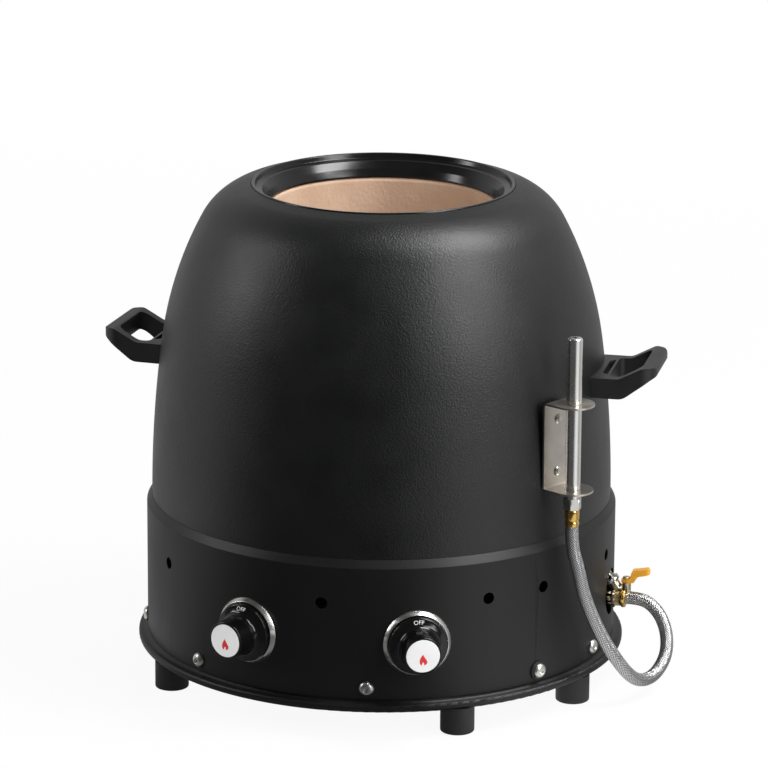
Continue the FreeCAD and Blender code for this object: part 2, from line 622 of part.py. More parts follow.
def burner_stand():
    """Bent strap that carries both rings, with a foot at each end."""
    low = FOOT_HEIGHT + SHEET
    foot = low + STAND_THICKNESS
    strap = sheet(((-STAND_REACH - STAND_FOOT, foot), (-STAND_REACH, foot),
                   (-STAND_REACH, RING_BURNER_BASE, 8), (STAND_REACH, RING_BURNER_BASE, 8),
                   (STAND_REACH, foot), (STAND_REACH + STAND_FOOT, foot)), STAND_THICKNESS)
    body = extruded(strap, STAND_WIDTH / 2)
    window = Part.makeCylinder(9, 20, Vector(0, 0, RING_BURNER_BASE - 10))
    return body.cut(window)


def air_shutters():
    """Sliding collars round the mouths of the venturi tubes."""
    inner = VENTURI_MOUTH + VENTURI_WALL + FIT
    front = VENTURI_START - 0.5
    collar = turned(rounded((inner, front - 11), (inner + 2, front - 11), (inner + 2, front), (inner, front)))
    return [outward(collar, side * KNOB_AZIMUTH, KNOB_HEIGHT) for side in (-1, 1)]


def flame_guard():
    """Dished plate over the burners, on three legs that stand on the outer ring."""
    rim, eye = GUARD_RADIUS, GUARD_EYE
    half = (rim + eye) / 2
    under = ((eye, GUARD_HEIGHT + GUARD_DISH), (half, GUARD_HEIGHT + GUARD_DISH * 0.74), (rim, GUARD_HEIGHT))
    over = tuple((radius, height + GUARD_THICKNESS) for radius, height in reversed(under))
    dish = turned(closed(under, over))
    inner, outer, ports = BURNER_RINGS["outer"]
    legs = [Part.makeCylinder(GUARD_LEG_RADIUS, GUARD_HEIGHT + 1.5 - RING_BURNER_TOP,
                              polar((inner + outer) / 2, 180.0 / ports + turn, RING_BURNER_TOP))
            for turn in (0, 120, 240)]
    return dish.fuse(legs)


# ---------------------------------------------------------------- gas pipes and knob valves


def gas_manifold():
    """Pipe bent round inside the skirt, from the left valve past the pilot feed to the rear inlet."""
    start = -KNOB_AZIMUTH - 5
    section = Part.Face(Part.Wire(Part.makeCircle(MANIFOLD_RADIUS, Vector(MANIFOLD_CIRCLE, 0, MANIFOLD_HEIGHT),
                                                  Vector(0, 1, 0))))
    bend = turned(section, 180 - start).rotated(Vector(), AXIS, start - 90)
    corner = polar(MANIFOLD_CIRCLE, 180, MANIFOLD_HEIGHT)
    tail = round_bar(MANIFOLD_RADIUS, corner, polar(INLET_SOCKET, 180, MANIFOLD_HEIGHT))
    return bend.fuse([Part.makeSphere(MANIFOLD_RADIUS, corner), tail])


def valve_body(side):
    """Brass tap: jet at the inner end, taper body saddled under the pipe, bonnet round the stem."""
    back = VALVE_FRONT - VALVE_LENGTH
    jet = back - JET_LENGTH
    bore = STEM_RADIUS + FIT
    bonnet = VALVE_FRONT - 8
    body = turned(rounded((1.0, jet), (4.2, jet, 1), (5.0, back), (8.0, back), (VALVE_BODY_RADIUS, back + 6, 3),
                          (VALVE_BODY_RADIUS, bonnet, 1.5), (8.0, bonnet), (8.0, VALVE_FRONT, 1),
                          (bore, VALVE_FRONT), (bore, STEM_BACK - KNOB_PUSH - 1), (0, STEM_BACK - KNOB_PUSH - 1),
                          (0, jet + 4), (1.0, jet + 4)))
    return outward(body, side * KNOB_AZIMUTH, KNOB_HEIGHT).cut(gas_manifold())


def valve_clamps():
    """Saddle straps that pull each tap up against the pipe."""
    clamps = []
    for side in (-1, 1):
        centre = polar(MANIFOLD_CIRCLE, side * KNOB_AZIMUTH, MANIFOLD_HEIGHT)
        along = polar(1, side * KNOB_AZIMUTH + 90)
        ring = Part.makeCylinder(MANIFOLD_RADIUS + 2.2, 12, centre - along * 6, along)
        ring = ring.cut(Part.makeCylinder(MANIFOLD_RADIUS + 0.15, 14, centre - along * 7, along))
        clamps.append(ring.cut(valve_body(side)))
    return clamps


def valve_stem(side):
    """Steel stem of a tap, which the knob is pressed on."""
    stem = turned(rounded((0, STEM_BACK), (STEM_RADIUS, STEM_BACK, 0.5), (STEM_RADIUS, STEM_FRONT, 0.5),
                          (0, STEM_FRONT)))
    return outward(stem, side * KNOB_AZIMUTH, KNOB_HEIGHT)


def spring_seat(side):
    """Cup washer on the stem that the tap's return spring bears on; it slides but does not turn."""
    seat = VALVE_FRONT + KNOB_PUSH + 1
    inner = STEM_RADIUS + FIT
    ring = turned(rounded((inner, seat), (7.0, seat, 0.8), (7.0, seat + 2.4), (inner, seat + 2.4)))
    return outward(ring, side * KNOB_AZIMUTH, KNOB_HEIGHT)


def bezel(side):
    """Raised ring round a knob: sloping land, dished floor, and a back that follows the skirt."""
    base = SKIRT_RADIUS
    dish = turned(rounded((STEM_HOLE_RADIUS - 1.5, base - 4), (BEZEL_RADIUS, base - 4),
                          (BEZEL_RADIUS, base + 1.6, 1.4), (BEZEL_LAND + 0.4, base + BEZEL_DEPTH, 0.6),
                          (BEZEL_LAND, base + BEZEL_DEPTH - 0.8), (BEZEL_LAND, base + BEZEL_FLOOR),
                          (STEM_HOLE_RADIUS - 1.5, base + BEZEL_FLOOR)))
    dish = outward(dish, side * KNOB_AZIMUTH, KNOB_HEIGHT)
    return dish.cut(Part.makeCylinder(SKIRT_RADIUS, 200, Vector(0, 0, KNOB_HEIGHT - 100)))


def knob(side):
    """Moulded knob: flanged skirt, flared hub and a recess in its face for the cap."""
    back, face = KNOB_BACK, KNOB_FACE
    bore = STEM_RADIUS + FIT
    rim = back + KNOB_SKIRT_THICKNESS
    hub = KNOB_HUB_RADIUS
    body = turned(closed((bore, back), (9, back), (9, back + 2.6), (KNOB_SKIRT_RADIUS - 4, back + 2.6),
                         (KNOB_SKIRT_RADIUS - 3.4, back), (KNOB_SKIRT_RADIUS - 0.5, back),
                         (KNOB_SKIRT_RADIUS, back + 0.5), (KNOB_SKIRT_RADIUS, rim),
                         ((KNOB_SKIRT_RADIUS, rim), (KNOB_SKIRT_RADIUS - 0.45, rim + 0.9),
                          (KNOB_SKIRT_RADIUS - 1.4, rim + 1.3)),
                         (hub + 4.2, rim + 3.4),
                         ((hub + 4.2, rim + 3.4), (hub + 1.7, rim + 6.0), (hub + 0.8, rim + 11.0)),
                         (hub, face - 1.2), ((hub, face - 1.2), (hub - 0.35, face - 0.35), (hub - 1.2, face)),
                         (KNOB_CAP_RADIUS + FIT, face), (KNOB_CAP_RADIUS + FIT, face - 2), (0, face - 2),
                         (0, STEM_FRONT + FIT), (bore, STEM_FRONT + FIT)))
    return outward(body, side * KNOB_AZIMUTH, KNOB_HEIGHT)


def knob_cap(side):
    """Round insert pressed into the knob's face."""
    face = KNOB_FACE
    cap = turned(rounded((0, face - 2), (KNOB_CAP_RADIUS, face - 2), (KNOB_CAP_RADIUS, face + 0.3, 0.5),
                         (0, face + 0.3)))
    return outward(cap, side * KNOB_AZIMUTH, KNOB_HEIGHT)


def inlet_fitting():
    """Brass connector on the manifold's tail, with a hexagon and an open threaded spigot."""
    axis = Vector(0, 1, 0)
    hex_start = SKIRT_RADIUS + 3.4
    hex_end = INLET_REACH - INLET_THREAD
    collar = round_bar(MANIFOLD_RADIUS + 2, Vector(0, INLET_SOCKET - 8, MANIFOLD_HEIGHT),
                       Vector(0, hex_start, MANIFOLD_HEIGHT))
    nut = hexagon(INLET_HEX, Vector(0, hex_start, MANIFOLD_HEIGHT), Vector(0, hex_end, MANIFOLD_HEIGHT))
    spigot = turned(rounded((0, hex_end - 1), (INLET_RADIUS, hex_end - 1), (INLET_RADIUS, INLET_REACH - 1),
                            (INLET_RADIUS - 1, INLET_REACH), (0, INLET_REACH)))
    socket = round_bar(MANIFOLD_RADIUS + FIT, Vector(0, INLET_SOCKET - 9, MANIFOLD_HEIGHT),
                       Vector(0, INLET_SOCKET + FIT, MANIFOLD_HEIGHT))
    bore = round_bar(INLET_RADIUS - 3, Vector(0, hex_end - 6, MANIFOLD_HEIGHT),
                     Vector(0, INLET_REACH + 1, MANIFOLD_HEIGHT))
    return cut(collar.fuse([nut, outward(spigot, 180, MANIFOLD_HEIGHT)]), socket, bore)


def inlet_grommet():
    """Rubber grommet that fills the skirt's hole round the inlet."""
    inner = MANIFOLD_RADIUS + 2 + 0.1
    flange = INLET_HOLE_RADIUS + 3
    ring = outward(turned(rounded((inner, SKIRT_RADIUS - SHEET - 3), (flange, SKIRT_RADIUS - SHEET - 3, 1),
                                  (flange, SKIRT_RADIUS + 3, 1.2), (inner, SKIRT_RADIUS + 3))),
                   180, MANIFOLD_HEIGHT)
    wall = turned(rounded((SKIRT_RADIUS - SHEET - 0.1, 80), (SKIRT_RADIUS + 0.1, 80),
                          (SKIRT_RADIUS + 0.1, 160), (SKIRT_RADIUS - SHEET - 0.1, 160)))
    return ring.cut(wall.cut(hole(INLET_HOLE_RADIUS - 0.1, 180, MANIFOLD_HEIGHT)))


# ---------------------------------------------------------------- pilot valve


def along_x(face):
    """Turned piece of the pilot valve, whose section is drawn as (radius, reach)."""
    return outward(turned(face), 90, PILOT_HEIGHT)


def pilot_union(radius, start, end):
    """Bar on the slanting axis of the gas union, from start to end along it."""
    turn = math.radians(UNION_ANGLE)
    centre = Vector(UNION_CENTRE[0], 0, UNION_CENTRE[1])
    way = Vector(math.cos(turn), 0, math.sin(turn))
    return round_bar(radius, centre + way * start, centre + way * end)


def pilot_union_nut():
    """Plated round nut where the feed pipe meets the pilot valve."""
    return pilot_union(UNION_RADIUS, -2.2, 2.2).fuse(pilot_union(UNION_RADIUS - 2.4, -5.0, 0)).removeSplitter()


def pilot_feed_pipe():
    """Short pipe from the manifold, out and down into the union nut."""
    turn = math.radians(UNION_ANGLE)
    end = Vector(UNION_CENTRE[0] - 5.0 * math.cos(turn), 0, UNION_CENTRE[1] - 5.0 * math.sin(turn))
    lift = MANIFOLD_HEIGHT - end.z
    knee = Vector(end.x - lift / math.tan(-turn), 0, MANIFOLD_HEIGHT)
    start = Vector(MANIFOLD_CIRCLE, 0, MANIFOLD_HEIGHT)
    pipe = round_bar(FEED_RADIUS, start, knee).fuse([Part.makeSphere(FEED_RADIUS, knee),
                                                     round_bar(FEED_RADIUS, knee, end)])
    return pipe.cut(gas_manifold())


def pilot_boss():
    """Upright boss that the lever's stem turns in."""
    return Part.makeCylinder(PILOT_BOSS_RADIUS, PILOT_BOSS_TOP - PILOT_HEIGHT,
                             Vector(PILOT_STEM_REACH, 0, PILOT_HEIGHT))


def pilot_valve_body():
    """Brass valve: wrench hexagon, flange, barrel, neck for the hose and the stem's boss."""
    level = PILOT_HEIGHT
    hexes = [hexagon(flats, Vector(start, 0, level), Vector(end, 0, level))
             for start, end, flats in (PILOT_HEX, PILOT_FLANGE)]
    barrels = [round_bar(radius, Vector(start - 0.5, 0, level), Vector(end, 0, level))
               for start, end, radius in (PILOT_BODY, PILOT_NECK)]
    branch = pilot_union(UNION_RADIUS - 2.2, 2.2, 11)
    hose_room = round_bar(HOSE_RADIUS + CLEARANCE, Vector(PILOT_NECK[1], 0, level),
                          Vector(PILOT_NECK[1] + 20, 0, level))
    body = hexes[0].fuse([hexes[1], *barrels, branch, pilot_boss()]).cut(hose_room)
    stem_hole = Part.makeCylinder(PILOT_STEM_RADIUS + FIT, 12, Vector(PILOT_STEM_REACH, 0, PILOT_BOSS_TOP - 8))
    return body.cut(stem_hole)


def pilot_retaining_ring():
    """Bright brass ring on the valve's outlet, notched for the boss."""
    start, end, radius = PILOT_RING
    ring = along_x(rounded((PILOT_NECK[2] + FIT, start), (radius, start, 0.8), (radius, end, 1.6),
                           (PILOT_NECK[2] + FIT, end)))
    notch = Part.makeCylinder(PILOT_BOSS_RADIUS + FIT, 40, Vector(PILOT_STEM_REACH, 0, PILOT_HEIGHT))
    return ring.cut(notch)


def pilot_stem():
    """Stem and dome nut that hold the lever."""
    low = PILOT_BOSS_TOP - 7
    seat = PILOT_BOSS_TOP + LEVER_HUB
    top = seat + PILOT_NUT_HEIGHT
    stem = turned(rounded((0, low), (PILOT_STEM_RADIUS, low), (PILOT_STEM_RADIUS, seat),
                          (PILOT_NUT_RADIUS, seat), (PILOT_NUT_RADIUS, top, 1.2), (0, top)))
    return stem.translated(Vector(PILOT_STEM_REACH, 0, 0))


def pilot_lever():
    """Cranked lever: flat hub on the boss, riser and a blunt arm in line with the hose."""
    hub_low = PILOT_BOSS_TOP + 0.2
    hub_top = PILOT_BOSS_TOP + LEVER_HUB
    x = PILOT_STEM_REACH
    tip = x + LEVER_REACH
    knee = x + 5.0
    top = hub_top + LEVER_RISE
    side = rounded((x - 5.4, hub_low), (knee + 3.2, hub_low, 2.0), (knee + 7.6, top - LEVER_THICKNESS, 4.0),
                   (tip, top - LEVER_THICKNESS + 3.0, 2.5), (tip, top + 3.0, 2.5),
                   (knee + 1.6, top, 3.0), (knee - 1.8, hub_top, 1.0), (x - 5.4, hub_top))
    bar = extruded(side, LEVER_WIDTH / 2)
    outline = Part.makeBox(tip - LEVER_WIDTH / 2 - x, LEVER_WIDTH, 60, Vector(x, -LEVER_WIDTH / 2, hub_low - 10))
    ends = [Part.makeCylinder(radius, 60, Vector(place, 0, hub_low - 10))
            for place, radius in ((x, 5.4), (tip - LEVER_WIDTH / 2, LEVER_WIDTH / 2))]
    lever = bar.common(outline.fuse(ends))
    spot_face = Part.makeCylinder(PILOT_NUT_RADIUS + CLEARANCE, 20, Vector(x, 0, hub_top))
    return cut(lever, Part.makeCylinder(PILOT_STEM_RADIUS + FIT, 12, Vector(x, 0, hub_low - 2)), spot_face)


# ---------------------------------------------------------------- handles


def handle(azimuth):
    """Moulded loop handle: foot with a slot on the bell, two arms that crank up, and a thin grip."""
    low, high = HANDLE_LOW, HANDLE_LOW + HANDLE_ARM
    reach, under = HANDLE_REACH, HANDLE_LOW + HANDLE_GRIP_RISE
    top = under + HANDLE_GRIP_HEIGHT
    inner = reach - HANDLE_GRIP_DEPTH
    root = 225.0
    profile = rounded((root, low), (HANDLE_BEND, low, 16), (reach - 7, under, 6), (reach, under + 4, 4),
                      (reach, top, 5), (inner + 1, top, 12), (HANDLE_BEND - 4, high, 16), (root, high))
    outline = plan(((root, -HANDLE_HALF_WIDTH), (reach, -HANDLE_HALF_WIDTH, 17), (reach, HANDLE_HALF_WIDTH, 17),
                    (root, HANDLE_HALF_WIDTH)), low - 20, top + 20)
    half_gap = HANDLE_HALF_WIDTH - HANDLE_ARM_WIDTH
    foot = HANDLE_FOOT_REACH
    gap = plan(((foot, -half_gap, 6), (inner, -half_gap, 9), (inner, half_gap, 9), (foot, half_gap, 6)),
               low - 20, top + 20)
    body = extruded(profile, HANDLE_HALF_WIDTH).common(outline).cut(gap).removeSplitter()
    slot, depth, narrow, wide = HANDLE_SLOT
    recess = plan(((slot, -narrow, 1), (slot + depth, -wide, 1), (slot + depth, wide, 1), (slot, narrow, 1)),
                  high - 8, high + 5)
    bolts = [Part.makeCylinder(HANDLE_BOLT_RADIUS + FIT, HANDLE_BOLT_LENGTH + 1,
                               Vector(bolt_seat(), offset, HANDLE_BOLT_HEIGHT), Vector(1, 0, 0))
             for offset in (-HANDLE_BOLT_OFFSET, HANDLE_BOLT_OFFSET)]
    return sideways(cut(body, bell_solid(0.1), recess, *bolts), azimuth)


def plan(corners, low, high):
    """Upright prism over an outline drawn in plan."""
    face = rounded(*corners).rotated(Vector(), Vector(1, 0, 0), -90)
    return face.translated(Vector(0, 0, low)).extrude(Vector(0, 0, high - low))


def bolt_seat():
    """Reach of the handle bolts' heads, just inside the bell."""
    radius = bell_reach(HANDLE_BOLT_HEIGHT + HANDLE_BOLT_HEAD) - SHEET
    return math.sqrt(radius ** 2 - (HANDLE_BOLT_OFFSET + HANDLE_BOLT_HEAD) ** 2) - 0.1


def handle_bolts():
    """Round-head bolts from inside the bell into the handles."""
    bolts = []
    way = Vector(1, 0, 0)
    for azimuth in HANDLE_AZIMUTHS.values():
        for offset in (-HANDLE_BOLT_OFFSET, HANDLE_BOLT_OFFSET):
            seat = Vector(bolt_seat(), offset, HANDLE_BOLT_HEIGHT)
            bolt = round_bar(HANDLE_BOLT_HEAD, seat - way * 3.5, seat).fuse(
                round_bar(HANDLE_BOLT_RADIUS, seat - way, seat + way * HANDLE_BOLT_LENGTH))
            bolts.append(sideways(bolt.removeSplitter(), azimuth))
    return bolts


# ---------------------------------------------------------------- lighting wand and its bracket


def wand_bracket():
    """Channel bent from plate, with two round-ended ears that hold the wand."""
    tip = WAND_REACH + BRACKET_HALF_WIDTH
    channel = extruded(sheet(((tip, BRACKET_BOTTOM), (BRACKET_BACK, BRACKET_BOTTOM, BRACKET_BEND),
                              (BRACKET_BACK, BRACKET_TOP, BRACKET_BEND), (tip, BRACKET_TOP)),
                             BRACKET_THICKNESS), BRACKET_HALF_WIDTH)
    height = BRACKET_TOP - BRACKET_BOTTOM + 20
    outline = Part.makeBox(WAND_REACH - BRACKET_BACK + 1, 2 * BRACKET_HALF_WIDTH, height,
                           Vector(BRACKET_BACK - 1, -BRACKET_HALF_WIDTH, BRACKET_BOTTOM - 10))
    end = Part.makeCylinder(BRACKET_HALF_WIDTH, height, Vector(WAND_REACH, 0, BRACKET_BOTTOM - 10))
    tube = Part.makeCylinder(WAND_RADIUS + WAND_HOLE_GAP, height, Vector(WAND_REACH, 0, BRACKET_BOTTOM - 10))
    plate = sideways(channel.common(outline.fuse(end)).cut(tube), BRACKET_AZIMUTH)
    return cut(plate, *[hole(BRACKET_SCREW_RADIUS + FIT, BRACKET_AZIMUTH, height, 200, 260)
                        for height in BRACKET_SCREW_HEIGHTS])


def bracket_screws():
    """Dome-head screws through the bracket and the bell."""
    screws = []
    for height in BRACKET_SCREW_HEIGHTS:
        seat = BRACKET_BACK + BRACKET_THICKNESS
        tip = bell_reach(height) - 12
        radius = BRACKET_SCREW_HEAD
        section = closed((0, tip), (BRACKET_SCREW_RADIUS, tip), (BRACKET_SCREW_RADIUS, seat), (radius, seat),
                         ((radius, seat), (radius * 0.7, seat + 2.0), (radius * 0.3, seat + 2.8)),
                         (0, seat + 2.8))
        screws.append(outward(turned(section), BRACKET_AZIMUTH, height))
    return screws


def bracket_spacers():
    """Bushes that stand the upright bracket off the leaning bell at its screws."""
    spacers = []
    for height in BRACKET_SCREW_HEIGHTS:
        bush = turned(rounded((BRACKET_SCREW_RADIUS + FIT, 225), (6.5, 225), (6.5, BRACKET_BACK),
                              (BRACKET_SCREW_RADIUS + FIT, BRACKET_BACK)))
        spacers.append(outward(bush, BRACKET_AZIMUTH, height).cut(bell_solid(0.05)))
    return spacers


def on_wand(shape):
    """Moves a piece turned about Z onto the wand's axis."""
    return shape.translated(polar(WAND_REACH, BRACKET_AZIMUTH))


def wand_tube():
    """Steel burner tube, closed by a domed end with one flame port."""
    radius, bore = WAND_RADIUS, WAND_RADIUS - WAND_WALL
    return on_wand(turned(rounded((radius, WAND_NUT_TOP), (radius, WAND_TOP, 2.6), (2.2, WAND_TOP),
                                  (2.2, WAND_TOP - WAND_WALL), (bore, WAND_TOP - WAND_WALL, 1.6),
                                  (bore, WAND_NUT_TOP))))


def wand_nut():
    """Hexagon nut at the foot of the wand."""
    return on_wand(hexagon(WAND_NUT, Vector(0, 0, WAND_NUT_BOTTOM), Vector(0, 0, WAND_NUT_TOP)))


def wand_ferrule():
    """Crimped brass ferrule over the hose's end."""
    low, high, radius = FERRULE_BOTTOM, WAND_NUT_BOTTOM, FERRULE_RADIUS
    waist = radius - 0.8
    return on_wand(turned(rounded((0, low), (radius - 0.3, low, 0.8), (radius, low + 4), (waist, low + 5.2, 0.8),
                                  (waist, low + 6.4, 0.8), (radius, low + 7.6), (radius, high - 2.4),
                                  (radius - 1.2, high), (0, high))))


def hose_points():
    """The whole route, with its ends in line with the valve's neck and the wand."""
    start = Vector(PILOT_NECK[1], 0, PILOT_HEIGHT)
    end = polar(WAND_REACH, BRACKET_AZIMUTH, FERRULE_BOTTOM)
    middle = [Vector(*point) for point in HOSE_ROUTE]
    return [start, start + Vector(HOSE_FIRST, 0, 0), *middle, end - AXIS * HOSE_LAST, end]


def pilot_hose():
    """Free hose from the pilot valve to the wand: straight runs joined by tangent bends."""
    points = hose_points()
    edges, radii = [], []
    last = points[0]
    for before, here, after in zip(points, points[1:], points[2:]):
        back = (before - here).normalize()
        ahead = (after - here).normalize()
        lead = HOSE_LEAD * min((before - here).Length, (after - here).Length)
        half = back.getAngle(ahead) / 2
        radius = lead * math.tan(half)
        middle = here + (back + ahead).normalize() * (radius / math.sin(half) - radius)
        arc = Part.Arc(here + back * lead, middle, here + ahead * lead).toShape()
        edges += [Part.makeLine(last, here + back * lead), arc]
        radii.append(radius)
        last = here + ahead * lead
    edges.append(Part.makeLine(last, points[-1]))
    path = Part.Wire(edges)
    ring = Part.Wire(Part.makeCircle(HOSE_RADIUS, points[0], points[1] - points[0]))
    hose = path.makePipeShell([ring], True, False)
    section = math.pi * HOSE_RADIUS ** 2
    fill = hose.Volume / section / path.Length
    print("hose: length %.1f, volume over section times length %.4f" % (path.Length, fill))
    print("hose bend radii: " + ", ".join("%.0f" % radius for radius in radii))
    return hose


# ---------------------------------------------------------------- every piece under its name


def pieces():
    """Name and shape of each sub-part; a list is a group of like solids."""
    yield "feet", feet()
    yield "foot_bolts", foot_bolts()
    yield "base_pan", base_pan()
    yield "skirt", skirt()
    yield "skirt_screws", skirt_screws()
    yield "skirt_nuts", skirt_nuts()
    yield "rubber_washer", rubber_washer()
    yield "bell_shell", bell_shell()
    yield "mouth_ring", mouth_ring()
    yield "clay_pot", clay_pot()
    yield "insulation_fill", insulation_fill()
    yield "pot_shelf", pot_shelf()
    yield "support_legs", support_legs()
    yield "leg_bolts", leg_bolts()
    yield "burner_outer", burner("outer", -KNOB_AZIMUTH)
    yield "burner_inner", burner("inner", KNOB_AZIMUTH)
    yield "burner_stand", burner_stand()
    yield "air_shutters", air_shutters()
    yield "flame_guard", flame_guard()
    yield "gas_manifold", gas_manifold()
    yield "valve_clamps", valve_clamps()
    for name, side in (("left", -1), ("right", 1)):
        yield name + "_valve_body", valve_body(side)
        yield name + "_valve_stem", valve_stem(side)
        yield name + "_spring_seat", spring_seat(side)
        yield name + "_bezel", bezel(side)
        yield name + "_knob", knob(side)
        yield name + "_knob_cap", knob_cap(side)
        yield name + "_handle", handle(HANDLE_AZIMUTHS[name])
    yield "inlet_fitting", inlet_fitting()
    yield "inlet_grommet", inlet_grommet()
    yield "handle_bolts", handle_bolts()
    yield "pilot_feed_pipe", pilot_feed_pipe()
    yield "pilot_union_nut", pilot_union_nut()
    yield "pilot_valve_body", pilot_valve_body()
    yield "pilot_retaining_ring", pilot_retaining_ring()
    yield "pilot_stem", pilot_stem()
    yield "pilot_lever", pilot_lever()
    yield "wand_bracket", wand_bracket()
    yield "bracket_screws", bracket_screws()
    yield "bracket_spacers", bracket_spacers()
    yield "wand_tube", wand_tube()
    yield "wand_nut", wand_nut()
    yield "wand_ferrule", wand_ferrule()
    yield "pilot_hose", pilot_hose()


os.makedirs("parts", exist_ok=True)
for name, shape in pieces():
    solid = Part.makeCompound(shape) if isinstance(shape, list) else shape
    if not solid.isValid() or solid.Volume <= 0:
        raise ValueError(name + " is not a sound solid")
    solid.exportStep(os.path.join("parts", name + ".step"))
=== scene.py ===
import bpy
import bmesh
import json
import math
import numpy as np
from mathutils import Matrix, Vector


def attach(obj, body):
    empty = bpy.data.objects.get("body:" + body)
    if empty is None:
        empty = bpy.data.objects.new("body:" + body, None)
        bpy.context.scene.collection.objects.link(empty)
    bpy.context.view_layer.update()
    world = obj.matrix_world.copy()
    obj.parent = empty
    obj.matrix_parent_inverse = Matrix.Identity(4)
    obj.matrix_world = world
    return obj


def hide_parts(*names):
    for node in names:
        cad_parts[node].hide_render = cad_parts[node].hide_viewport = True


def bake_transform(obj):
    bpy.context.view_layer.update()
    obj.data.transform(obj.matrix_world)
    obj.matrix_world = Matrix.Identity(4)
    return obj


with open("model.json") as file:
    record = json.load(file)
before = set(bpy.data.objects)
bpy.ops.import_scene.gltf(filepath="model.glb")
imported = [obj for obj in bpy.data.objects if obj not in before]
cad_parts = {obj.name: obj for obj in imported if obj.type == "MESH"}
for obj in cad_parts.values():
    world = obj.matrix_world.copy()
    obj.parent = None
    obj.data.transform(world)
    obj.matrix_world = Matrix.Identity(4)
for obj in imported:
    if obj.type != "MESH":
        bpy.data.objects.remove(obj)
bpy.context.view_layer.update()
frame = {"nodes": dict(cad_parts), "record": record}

# ------------------------------------------------------------------ studio
# A white floor under a pale sky. Two tall soft boxes on the right and a strip on the left draw the
# highlights, and two wide lamps that no gloss shows fill in from the front and the back. The camera
# stands off to the valve's side and looks a little down through a long lens.

CAMERA_PLACE = Vector((0.97873, -4.50775, 1.62104))
CAMERA_AHEAD = Vector((-0.20363, 0.93984, -0.27428))
CAMERA_UP = Vector((-0.06436, 0.26669, 0.96163))
FOCAL_LENGTH = 211.95            # millimetres, as is the side of the square sensor
SENSOR_SIDE = 36.0
LAMPS_AIM = Vector((0, 0, 0.25))

scene = bpy.context.scene
scene.view_settings.view_transform = "Standard"
lens = bpy.data.cameras.new("studio_camera")
lens.lens, lens.sensor_width, lens.sensor_height = FOCAL_LENGTH, SENSOR_SIDE, SENSOR_SIDE
lens.clip_start, lens.clip_end = 0.1, 60.0
camera = bpy.data.objects.new("studio_camera", lens)
sideways = CAMERA_AHEAD.cross(CAMERA_UP).normalized()
upwards = sideways.cross(CAMERA_AHEAD).normalized()
turned = Matrix((sideways, upwards, -CAMERA_AHEAD)).transposed().to_4x4()
camera.matrix_world = Matrix.Translation(CAMERA_PLACE) @ turned
scene.collection.objects.link(camera)
scene.camera = camera


def bearing(azimuth, elevation=0.0):
    """Unit direction of an azimuth, 0 at the front and 90 on the valve's side, and an elevation."""
    around, above = math.radians(azimuth), math.radians(elevation)
    return Vector((math.sin(around) * math.cos(above), -math.cos(around) * math.cos(above),
                   math.sin(above)))


def soft_box(name, azimuth, elevation, distance, width, height, power, glossy=True):
    """Area lamp at an azimuth, an elevation and a distance from its aim, turned to it."""
    lamp = bpy.data.lights.new(name, "AREA")
    lamp.shape, lamp.size, lamp.size_y, lamp.energy = "RECTANGLE", width, height, power
    way = bearing(azimuth, elevation)
    holder = bpy.data.objects.new(name, lamp)
    holder.matrix_world = (Matrix.Translation(LAMPS_AIM + way * distance)
                           @ way.to_track_quat("Z", "Y").to_matrix().to_4x4())
    holder.visible_glossy = glossy
    scene.collection.objects.link(holder)


soft_box("high_key", 88, 58, distance=2.7, width=0.9, height=1.5, power=60)
soft_box("low_key", 60, 27, distance=2.7, width=0.8, height=1.7, power=30)
soft_box("left_strip", -74, 26, distance=2.8, width=0.5, height=1.5, power=16)
soft_box("front_fill", 4, 30, distance=3.2, width=2.4, height=2.0, power=18, glossy=False)
soft_box("back_fill", 178, 50, distance=3.2, width=2.0, height=2.0, power=22, glossy=False)


def node(tree, kind, *feeds, **settings):
    """New node with its properties, the values of its inputs given by number as i0, i1 and so on,
    and the sockets that feed its inputs in order (None leaves one unfed)."""
    made = tree.nodes.new(kind)
    for key, value in settings.items():
        if key[0] == "i" and key[1:].isdigit():
            made.inputs[int(key[1:])].default_value = value
        else:
            setattr(made, key, value)
    for place, feed in enumerate(feeds):
        if feed is not None:
            tree.links.new(feed, made.inputs[place])
    return made


def maths(tree, operation, *feeds, **settings):
    """Socket of a sum on the feeds."""
    return node(tree, "ShaderNodeMath", *feeds, operation=operation, **settings).outputs[0]


def ramp(tree, feed, start, end, low=0.0, high=1.0, **settings):
    """Socket that runs from low to high as the feed goes from start to end."""
    return node(tree, "ShaderNodeMapRange", feed, i1=start, i2=end, i3=low, i4=high,
                **settings).outputs[0]


def material(name, colour, roughness, metallic=0.0):
    """New material; returns it with its tree and its Principled shader."""
    made = bpy.data.materials.new(name)
    made.use_nodes = True
    shader = made.node_tree.nodes["Principled BSDF"]
    shader.inputs["Base Color"].default_value = (*colour, 1)
    shader.inputs["Roughness"].default_value = roughness
    shader.inputs["Metallic"].default_value = metallic
    return made, made.node_tree, shader


def white_backdrop(tree, lit, white, seen, mirrored):
    """Mix of a lit shader and plain white light: for camera rays by the share seen, a socket or
    None for all of it, and for glossy and transmission rays white light alone, of a socket's
    strength."""
    rays = node(tree, "ShaderNodeLightPath").outputs
    mirror = maths(tree, "MAXIMUM", rays["Is Glossy Ray"], rays["Is Transmission Ray"])
    shown = maths(tree, "MULTIPLY", rays["Is Camera Ray"], seen, i1=1.0)
    pale = node(tree, "ShaderNodeMixShader", shown, lit, node(tree, white).outputs[0])
    reflected = node(tree, white)
    tree.links.new(mirrored, reflected.inputs["Strength"])
    return node(tree, "ShaderNodeMixShader", mirror, pale.outputs[0],
                reflected.outputs[0]).outputs[0]


